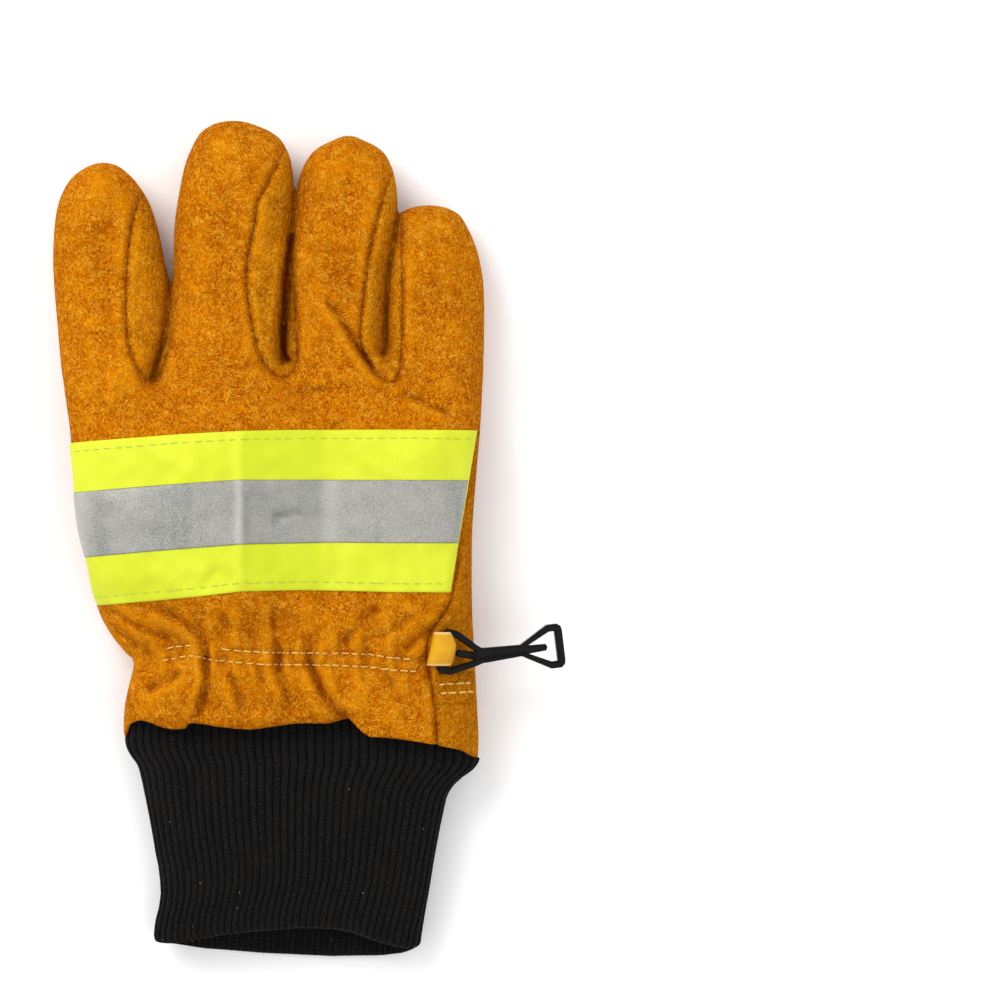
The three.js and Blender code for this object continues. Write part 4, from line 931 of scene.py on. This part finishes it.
# The loop of strap leather round the clip's bar. Columns: place along the strap's width, inset of the
# edge, shift of the left and right side
LOOP_ROWS = [
    (0, 0.25, 1.35, -0.7), (0.03, 0.06, 1.3, -0.55), (0.12, 0, 1.15, -0.1), (0.35, 0, 0.7, 0.9),
    (0.55, 0, 0.3, 0.8), (0.75, 0, -0.2, 0.3), (0.9, 0, -0.6, -0.1), (0.97, 0.06, -0.75, -0.5),
    (1, 0.25, -0.8, -0.7)]
LOOP_WALL = 1.35
LOOP_TRIM = 0.1
LOOP_RISE = 1.1
LOOP_SIDES = 56
loop_low, loop_high = [np.array(c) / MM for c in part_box("hang_loop")]
loop_centre = (loop_low + loop_high) / 2
half_x, half_y, half_z = (loop_high - loop_low) / 2 + [-LOOP_TRIM, 0.4, -LOOP_TRIM]
a = 2 * math.pi * np.arange(LOOP_SIDES) / LOOP_SIDES
c, s = np.cos(a), np.sin(a)
ex, ez = np.sign(c) * np.abs(c) ** 0.8, np.sign(s) * np.abs(s) ** 0.75
loop_rings = []
for wall, listed in ((0, LOOP_ROWS), (LOOP_WALL, LOOP_ROWS[::-1])):
    for place, inset, move_left, move_right in listed:
        cut = abs(wall - inset)
        x = ex * (half_x - cut) + np.where(ex < 0, move_left, move_right) * np.abs(ex) ** 0.7
        y = np.full(LOOP_SIDES, LOOP_RISE + half_y * (1 - 2 * place))
        loop_rings.append(loop_centre + np.stack([x, y, ez * (half_z - cut)], 1))
loop = tube("strap_loop", np.array(loop_rings), True)
give(loop, raw=np.repeat(([1, 0.8] + [0] * (len(LOOP_ROWS) - 4) + [0.8, 1]) * 2, LOOP_SIDES))

# The moulded clip, on a fine grid of its own
CLIP = dict(length=39.4, eye=12.5, thickness=2.8, bar=2.4, arm=2.25, body=4.8, far_body=3.6, tongue=6.9,
            waist=2.1, half=6.85, turn=4.6, eye_turn=-9.0, body_turn=7.0, droop=11.5, soft=0.55)
FINE = 0.2
cx, cy, cz = (np.arange(-half, half + FINE, FINE) for half in (21.5, 8.5, 2.6))
clip_grid = tuple(np.meshgrid(cx, cy, indexing="ij"))
bar_x = CLIP["length"] / 2
inner = bar_x - CLIP["bar"]
neck = bar_x - CLIP["eye"]
shoulder = bar_x - CLIP["turn"]


def clip_quarter(body):
    half = CLIP["half"]
    return [(neck - 1.0, body / 2), (shoulder, half), (bar_x - 1.4, half), (bar_x - 0.3, half - 0.9),
            (bar_x, half - 2.2)]


far, near = clip_quarter(CLIP["far_body"]), clip_quarter(CLIP["body"])
body_field = region(far + [(a, -b) for a, b in far[::-1]] + [(-a, -b) for a, b in near]
                    + [(-a, b) for a, b in near[::-1]], clip_grid)
tongue, waist = neck + CLIP["tongue"], CLIP["waist"] / 2
eye = [(inner, CLIP["half"] - CLIP["arm"]), (shoulder + 0.3, CLIP["half"] - CLIP["arm"]),
       (neck + 1.3, waist + 0.25), (tongue, waist)]
eye = eye + [(tongue + 0.5, 0.0)] + [(a, -b) for a, b in eye[::-1]]
for sign in (1, -1):
    body_field = smooth_max(body_field, -region([(sign * a, b) for a, b in eye], clip_grid), 0.25)
far_x, off_y = np.abs(clip_grid[0]), np.abs(clip_grid[1])
ridge = 0.35 * bell(clip_grid[1] + 0.75, 0.3) * step(neck + 1, neck - 1, far_x)
tongue_drop = step(neck + 0.5, neck + 3, far_x) * step(1.6, 1.1, off_y) * step(inner, inner - 1.5, far_x)
flat = (body_field + CLIP["soft"])[:, :, None]
tall = np.abs(cz) - (CLIP["thickness"] / 2 - CLIP["soft"] - ridge - 0.35 * tongue_drop)[:, :, None]
clip_field = (np.minimum(np.maximum(flat, tall), 0) + np.hypot(np.maximum(flat, 0), np.maximum(tall, 0))
              - CLIP["soft"])
points, faces = surface(clip_field, np.array([cx[0], cy[0], cz[0]]), FINE)
points = points + [bar_x - CLIP["bar"] / 2, 0, 0]
# It is bent a little where the first eye meets the body
bend = np.linspace(-10, 50, 241)
turn = np.tan(np.radians(CLIP["eye_turn"] + (CLIP["body_turn"] - CLIP["eye_turn"]) * step(7.5, 14.5, bend)))
sway = np.cumsum(turn) * (bend[1] - bend[0])
sway -= np.interp(0, bend, sway)
x, y = points[:, 0].copy(), points[:, 1].copy()
points[:, 0] = x - y * np.interp(x, bend, turn)
points[:, 1] = y + np.interp(x, bend, sway)
points = points @ np.array(Matrix.Rotation(math.radians(CLIP["droop"]), 3, "Y")).T
clip = make_mesh("clip_plastic", points + loop_centre + [0.55, 0.4, 0], faces)


# Materials
def colour(rgb):
    """8-bit display colour to linear."""
    return tuple(v / 255 / 12.92 if v / 255 <= 0.04045 else ((v / 255 + 0.055) / 1.055) ** 2.4
                 for v in rgb) + (1.0,)


class Look:
    """A small helper for wiring a procedural material. Its shade is built up in steps."""

    def __init__(self, name):
        self.material = bpy.data.materials.new(name)
        self.material.use_nodes = True
        self.tree = self.material.node_tree
        self.tree.nodes.clear()
        self.shader = self.node("ShaderNodeBsdfPrincipled")
        self.node("ShaderNodeOutputMaterial", {0: self.shader.outputs[0]})
        self.where = self.node("ShaderNodeTexCoord").outputs["Object"]

    def put(self, socket, value):
        if isinstance(value, bpy.types.NodeSocket):
            self.tree.links.new(value, socket)
        else:
            socket.default_value = value

    def node(self, kind, inputs=None, **settings):
        n = self.tree.nodes.new(kind)
        for key, value in settings.items():
            setattr(n, key, value)
        for key, value in (inputs or {}).items():
            self.put(n.inputs[key], value)
        return n

    def mapping(self, scale, turn=(0, 0, 0)):
        """Object coordinates turned, then stretched along the turned axes."""
        turned = self.node("ShaderNodeMapping", {"Vector": self.where, "Rotation": turn}).outputs[0]
        return self.node("ShaderNodeMapping", {"Vector": turned, "Scale": scale}).outputs[0]

    def noise(self, size, detail=2.0, rough=0.5, twist=0.0, where=None):
        """Noise with features of about size millimetres."""
        inputs = {"Vector": where or self.where, "Scale": 1 / (size * MM), "Detail": detail,
                  "Roughness": rough, "Distortion": twist}
        return self.node("ShaderNodeTexNoise", inputs).outputs["Fac"]

    def attribute(self, name):
        return self.node("ShaderNodeAttribute", attribute_name=name).outputs["Fac"]

    def ramp(self, value, low, high, to_low=0.0, to_high=1.0):
        return self.node("ShaderNodeMapRange", {"Value": value, "From Min": low, "From Max": high,
                                                "To Min": to_low, "To Max": to_high}).outputs[0]

    def maths(self, operation, a, b=0.0):
        return self.node("ShaderNodeMath", {0: a, 1: b}, operation=operation).outputs[0]

    def mix(self, share, a, b):
        return self.node("ShaderNodeMix", {0: share, 6: a, 7: b}, data_type="RGBA").outputs[2]

    def base(self, value, low, high, dark, light):
        self.shade = self.mix(self.ramp(value, low, high), colour(dark), colour(light))

    def tint(self, value, low, high, to_low, to_high, rgb):
        """Lay a colour over the shade, by to_low where the value is low and to_high where it is high."""
        self.shade = self.mix(self.ramp(value, low, high, to_low, to_high), self.shade, colour(rgb))

    def finish(self, bumps=(), **values):
        """Set the shader's own values, which are the same all over, and wire the shade and the bumps."""
        for key, value in values.items():
            self.put(self.shader.inputs[key.replace("_", " ")], value)
        self.put(self.shader.inputs["Base Color"], self.shade)
        normal = {}
        for height, strength, distance in bumps:
            inputs = {"Height": height, "Strength": strength, "Distance": distance * MM, **normal}
            normal = {"Normal": self.node("ShaderNodeBump", inputs).outputs[0]}
            self.put(self.shader.inputs["Normal"], normal["Normal"])
        return self.material


def suede(name, base, light, bright, dark, red, pale):
    """Brushed split leather: short fibres lying all ways, with shade painted darker and redder where it folds
    and light painted on its ridges.
    """
    look = Look(name)
    fibres = [look.noise(0.55, 2.0, 0.6, twist, look.mapping((1, 0.3, 1), (0.2, 0.1, turn)))
              for turn, twist in ((0.35, 0.8), (1.5, 1.0), (2.6, 0.8))]
    streak = fibres[0]
    for size, low, fibre in ((2.2, 0.47, fibres[1]), (3.1, 0.5, fibres[2])):
        pick = look.ramp(look.noise(size), low, low + 0.06)
        streak = look.node("ShaderNodeMix", {0: pick, 2: streak, 3: fibre}).outputs[0]
    specks = look.noise(0.6, 2.0, 0.65, 0.5)
    # Single hairs: thin curved lines where a noise passes through its middle
    hair = None
    for size, turn, low in ((1.5, 0.4, 0.42), (1.9, 2.0, 0.45), (1.7, 1.2, 0.48)):
        wander = look.noise(size, 2.0, 0.5, 1.2, look.mapping((1, 0.6, 1), (0.1, 0.2, turn)))
        thin = look.ramp(look.maths("ABSOLUTE", look.maths("SUBTRACT", wander, 0.5)), 0.008, 0.04, 1.0, 0.0)
        one = look.maths("MULTIPLY", thin, look.ramp(look.noise(1.5 + turn, 1.0), low + 0.06, low + 0.1))
        hair = one if hair is None else look.maths("MAXIMUM", hair, one)
    blotch = look.noise(3.0, 3.0, 0.65, 0.8)
    wide = look.noise(19.0, 3.0, 0.6, 0.4)
    look.base(streak, 0.4, 0.6, dark, light)
    look.tint(specks, 0.34, 0.48, 0.5, 0.0, red)
    look.tint(specks, 0.56, 0.66, 0.0, 0.45, light)
    look.tint(blotch, 0.5, 0.72, 0.0, 0.5, dark)
    look.tint(wide, 0.42, 0.68, 0.0, 0.35, red)
    look.tint(wide, 0.5, 0.3, 0.0, 0.25, base)
    valley = look.attribute("valley")
    # Painted light on the ridges, painted shade in the valleys
    look.tint(valley, -0.05, -0.7, 0.0, 0.36, bright)
    look.tint(valley, 0.15, 1.0, 0.0, 0.42, red)
    rough_edge = look.ramp(blotch, 0.3, 0.7, -0.16, 0.16)
    # Painted shade along creases, slits and seams, with a ragged edge
    crease = look.attribute("crease")
    crease = look.maths("ADD", crease, look.maths("MULTIPLY", rough_edge, look.ramp(crease, 0.05, 0.3)))
    look.tint(crease, 0.03, 0.95, 0.0, 0.97, (98, 29, 1))
    patchy = look.ramp(look.noise(6.0), 0.55, 0.35, 0.08, 0.26)
    gather = look.maths("MULTIPLY", look.attribute("gather"), patchy)
    look.shade = look.mix(gather, look.shade, colour(bright))
    hair_share = look.maths("MULTIPLY", hair, look.ramp(crease, 0.2, 0.8, 0.55, 0.15))
    look.shade = look.mix(hair_share, look.shade, colour(pale))
    bumps = [(streak, 1.0, 0.5), (specks, 0.6, 0.35), (hair, 0.5, 0.25), (blotch, 0.5, 0.7)]
    return look.finish(bumps, Roughness=1.0, Sheen_Weight=0.05, Sheen_Roughness=0.6,
                       Sheen_Tint=colour((255, 150, 20)), Specular_IOR_Level=0.02)


def lime():
    look = Look("lime_tape")
    threads = [look.node("ShaderNodeTexWave", {"Vector": look.where, "Scale": 1 / (0.34 * MM) / 2.0},
                         wave_type="BANDS", bands_direction=way).outputs["Fac"] for way in "XY"]
    weave = look.maths("MULTIPLY", *threads)
    look.base(look.noise(14.0), 0.35, 0.65, (209, 217, 41), (218, 227, 52))
    look.tint(weave, 0.0, 1.0, 0.12, 0.0, (172, 188, 26))
    look.tint(look.noise(0.6, 2.0, 0.7), 0.35, 0.65, 0.16, 0.0, (168, 184, 22))
    # Painted shade where the tape turns from the light
    look.tint(look.attribute("dim"), 0.0, 1.0, 0.0, 0.42, (180, 196, 20))
    return look.finish([(weave, 0.12, 0.1)], Roughness=0.6, Specular_IOR_Level=0.2)


def silver():
    look = Look("silver_tape")
    grain = look.noise(0.42, 3.0, 0.75)
    streaks = look.noise(11.0, 3.0, 0.6, 0.3, look.mapping((1, 0.08, 1)))
    look.base(grain, 0.32, 0.68, (100, 100, 96), (180, 180, 174))
    look.tint(streaks, 0.38, 0.62, 0.0, 0.3, (172, 171, 161))
    look.tint(streaks, 0.47, 0.34, 0.0, 0.2, (112, 112, 109))
    # Painted shade where the tape turns from the light, painted highlights where it turns towards it
    look.tint(look.attribute("dim"), 0.0, 1.0, 0.0, 0.35, (118, 119, 114))
    look.tint(look.attribute("shine"), 0.0, 1.0, 0.0, 0.5, (196, 196, 190))
    look.tint(look.noise(7.0, 3.0, 0.6), 0.45, 0.7, 0.0, 0.3, (172, 171, 160))
    look.tint(look.attribute("border"), 0.4, 1.0, 0.0, 0.6, (92, 96, 48))
    return look.finish([(grain, 0.25, 0.12)], Roughness=0.5, Metallic=0.2, Specular_IOR_Level=0.4)


def knitted():
    look = Look("rib_knit")
    # Two columns of slanting stitches on each rib
    lean = look.maths("PINGPONG", look.maths("MULTIPLY", look.attribute("wale"), 2.0), 1.0)
    slant = look.maths("ADD", look.attribute("course"), look.maths("MULTIPLY", lean, 0.7))
    stitch = look.maths("PINGPONG", slant, 0.5)
    fuzz = look.noise(0.7, 3.0, 0.7, 0.4)
    look.base(fuzz, 0.34, 0.66, (3, 3, 3), (32, 31, 31))
    look.tint(look.noise(2.6, 2.0, 0.6, 0.3, look.mapping((1, 0.25, 1))), 0.5, 0.65, 0.0, 0.5, (9, 9, 9))
    look.tint(stitch, 0.1, 0.4, 0.45, 0.0, (9, 9, 9))
    # Painted shade in the grooves between the ribs
    look.tint(look.attribute("groove"), 0.2, 0.9, 0.0, 0.95, (3, 3, 3))
    look.tint(look.noise(16.0), 0.45, 0.7, 0.0, 0.3, (26, 21, 17))
    # A few pale specks of lint
    cells = look.node("ShaderNodeTexVoronoi", {"Vector": look.where, "Scale": 1 / (5.0 * MM)})
    near = look.ramp(cells.outputs["Distance"], 0.04, 0.065, 1.0, 0.0)
    lint = look.maths("MULTIPLY", near, look.ramp(look.noise(9.0, 1.0), 0.44, 0.5))
    look.shade = look.mix(lint, look.shade, colour((110, 96, 74)))
    return look.finish([(stitch, 0.7, 0.3), (fuzz, 0.5, 0.25)], Roughness=0.95, Sheen_Weight=0.06,
                       Sheen_Roughness=0.5, Sheen_Tint=colour((200, 200, 200)), Specular_IOR_Level=0.08)


def strap():
    look = Look("yellow_strap")
    look.base(look.noise(5.0), 0.35, 0.65, (194, 134, 0), (212, 157, 2))
    look.tint(look.attribute("raw"), 0.2, 0.9, 0.0, 0.85, (226, 190, 120))
    return look.finish([(look.noise(0.5, 3.0, 0.6), 0.3, 0.15)], Roughness=0.6, Specular_IOR_Level=0.3)


def plastic():
    look = Look("black_plastic")
    grain = look.noise(0.35)
    look.base(look.noise(4.0), 0.4, 0.65, (6, 6, 6), (12, 12, 12))
    return look.finish([(grain, 0.1, 0.06)], Roughness=look.ramp(grain, 0.3, 0.7, 0.2, 0.3),
                       Specular_IOR_Level=0.1)


def thread(name, light, dark):
    look = Look(name)
    twist = look.noise(0.3, 2.0, 0.6, 0.8)
    look.base(twist, 0.35, 0.65, dark, light)
    return look.finish([(twist, 0.5, 0.12)], Roughness=0.7, Sheen_Weight=0.2, Specular_IOR_Level=0.3)


# The back, the side panels between the fingers, and the gusset with the patch each get suede in a slightly
# different tone
suede_back = suede("suede_back", (184, 97, 1), (217, 132, 4), (234, 148, 8), (148, 67, 1), (134, 50, 1),
                   (238, 172, 44))
suede_side = suede("suede_side", (187, 106, 1), (221, 142, 8), (230, 150, 12), (150, 77, 1), (134, 57, 1),
                   (236, 172, 44))
suede_gusset = suede("suede_gusset", (172, 94, 1), (203, 126, 6), (214, 136, 8), (138, 68, 1), (122, 50, 1),
                     (220, 154, 40))
pale_thread = thread("pale_thread", (236, 200, 108), (206, 160, 70))
lime_thread = thread("lime_thread", (192, 199, 74), (168, 176, 56))

# Each piece with the node it stands for, its slot and its material
skins = dict.fromkeys(panels, suede_back)
skins.update(dict.fromkeys(strips[:3], suede_side), side_gusset=suede_gusset)
dressed = [(leather[name], name, "suede", skins[name]) for name in panels]
dressed += [(band, "band_lime", "lime_tape", lime()), (stripe, "band_silver", "silver_tape", silver()),
            (patch, "strap_patch", "suede", suede_gusset), (knit, "knit_cuff", "knit", knitted()),
            (loop, "hang_loop", "yellow_leather", strap()), (clip, "snap_clip", "black_plastic", plastic())]
for obj, node, slot, material in dressed:
    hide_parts(node)
    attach(obj, "root")
    obj.data.materials.append(material)
for obj, material in ((gather_stitches, pale_thread), (band_stitches, lime_thread),
                      (patch_stitches, pale_thread)):
    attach(obj, "root")
    obj.data.materials.append(material)

# Floor, light and camera
bpy.ops.mesh.primitive_plane_add(size=4.0, location=(0.07, 0, -0.0004))
floor = bpy.context.object
floor.name = "floor"
floor_look = Look("floor_pale")
floor_look.base(floor_look.noise(300.0), 0.3, 0.7, (250, 250, 250), (252, 252, 252))
floor.data.materials.append(floor_look.finish(Roughness=0.9))

world = bpy.data.worlds.new("studio")
bpy.context.scene.world = world
world.use_nodes = True
world.node_tree.nodes["Background"].inputs["Color"].default_value = (1, 1, 1, 1)
world.node_tree.nodes["Background"].inputs["Strength"].default_value = 0.89


def soft_light(name, place, size, power):
    """A square light that is aimed at the glove."""
    data = bpy.data.lights.new(name, "AREA")
    data.shape = "SQUARE"
    data.size = size
    data.energy = power
    light = bpy.data.objects.new(name, data)
    light.location = place
    light.rotation_euler = (-Vector(place)).to_track_quat("-Z", "Y").to_euler()
    bpy.context.scene.collection.objects.link(light)


soft_light("key", (-0.65, 0.75, 0.85), 0.8, 10.0)
soft_light("fill", (0.7, -0.4, 1.0), 1.0, 3.0)

camera_data = bpy.data.cameras.new("camera")
camera_data.sensor_width = 36.0
camera_data.lens = camera_data.sensor_width * CAMERA_HEIGHT / PICTURE_WIDTH
camera_data.clip_start = 0.05
camera_data.clip_end = 20.0
camera = bpy.data.objects.new("camera", camera_data)
camera.location = (PICTURE_CENTRE[0] * MM, PICTURE_CENTRE[1] * MM, (CAMERA_HEIGHT + PICTURE_PLANE) * MM)
bpy.context.scene.collection.objects.link(camera)
bpy.context.scene.camera = camera
bpy.context.scene.view_settings.view_transform = "Standard"
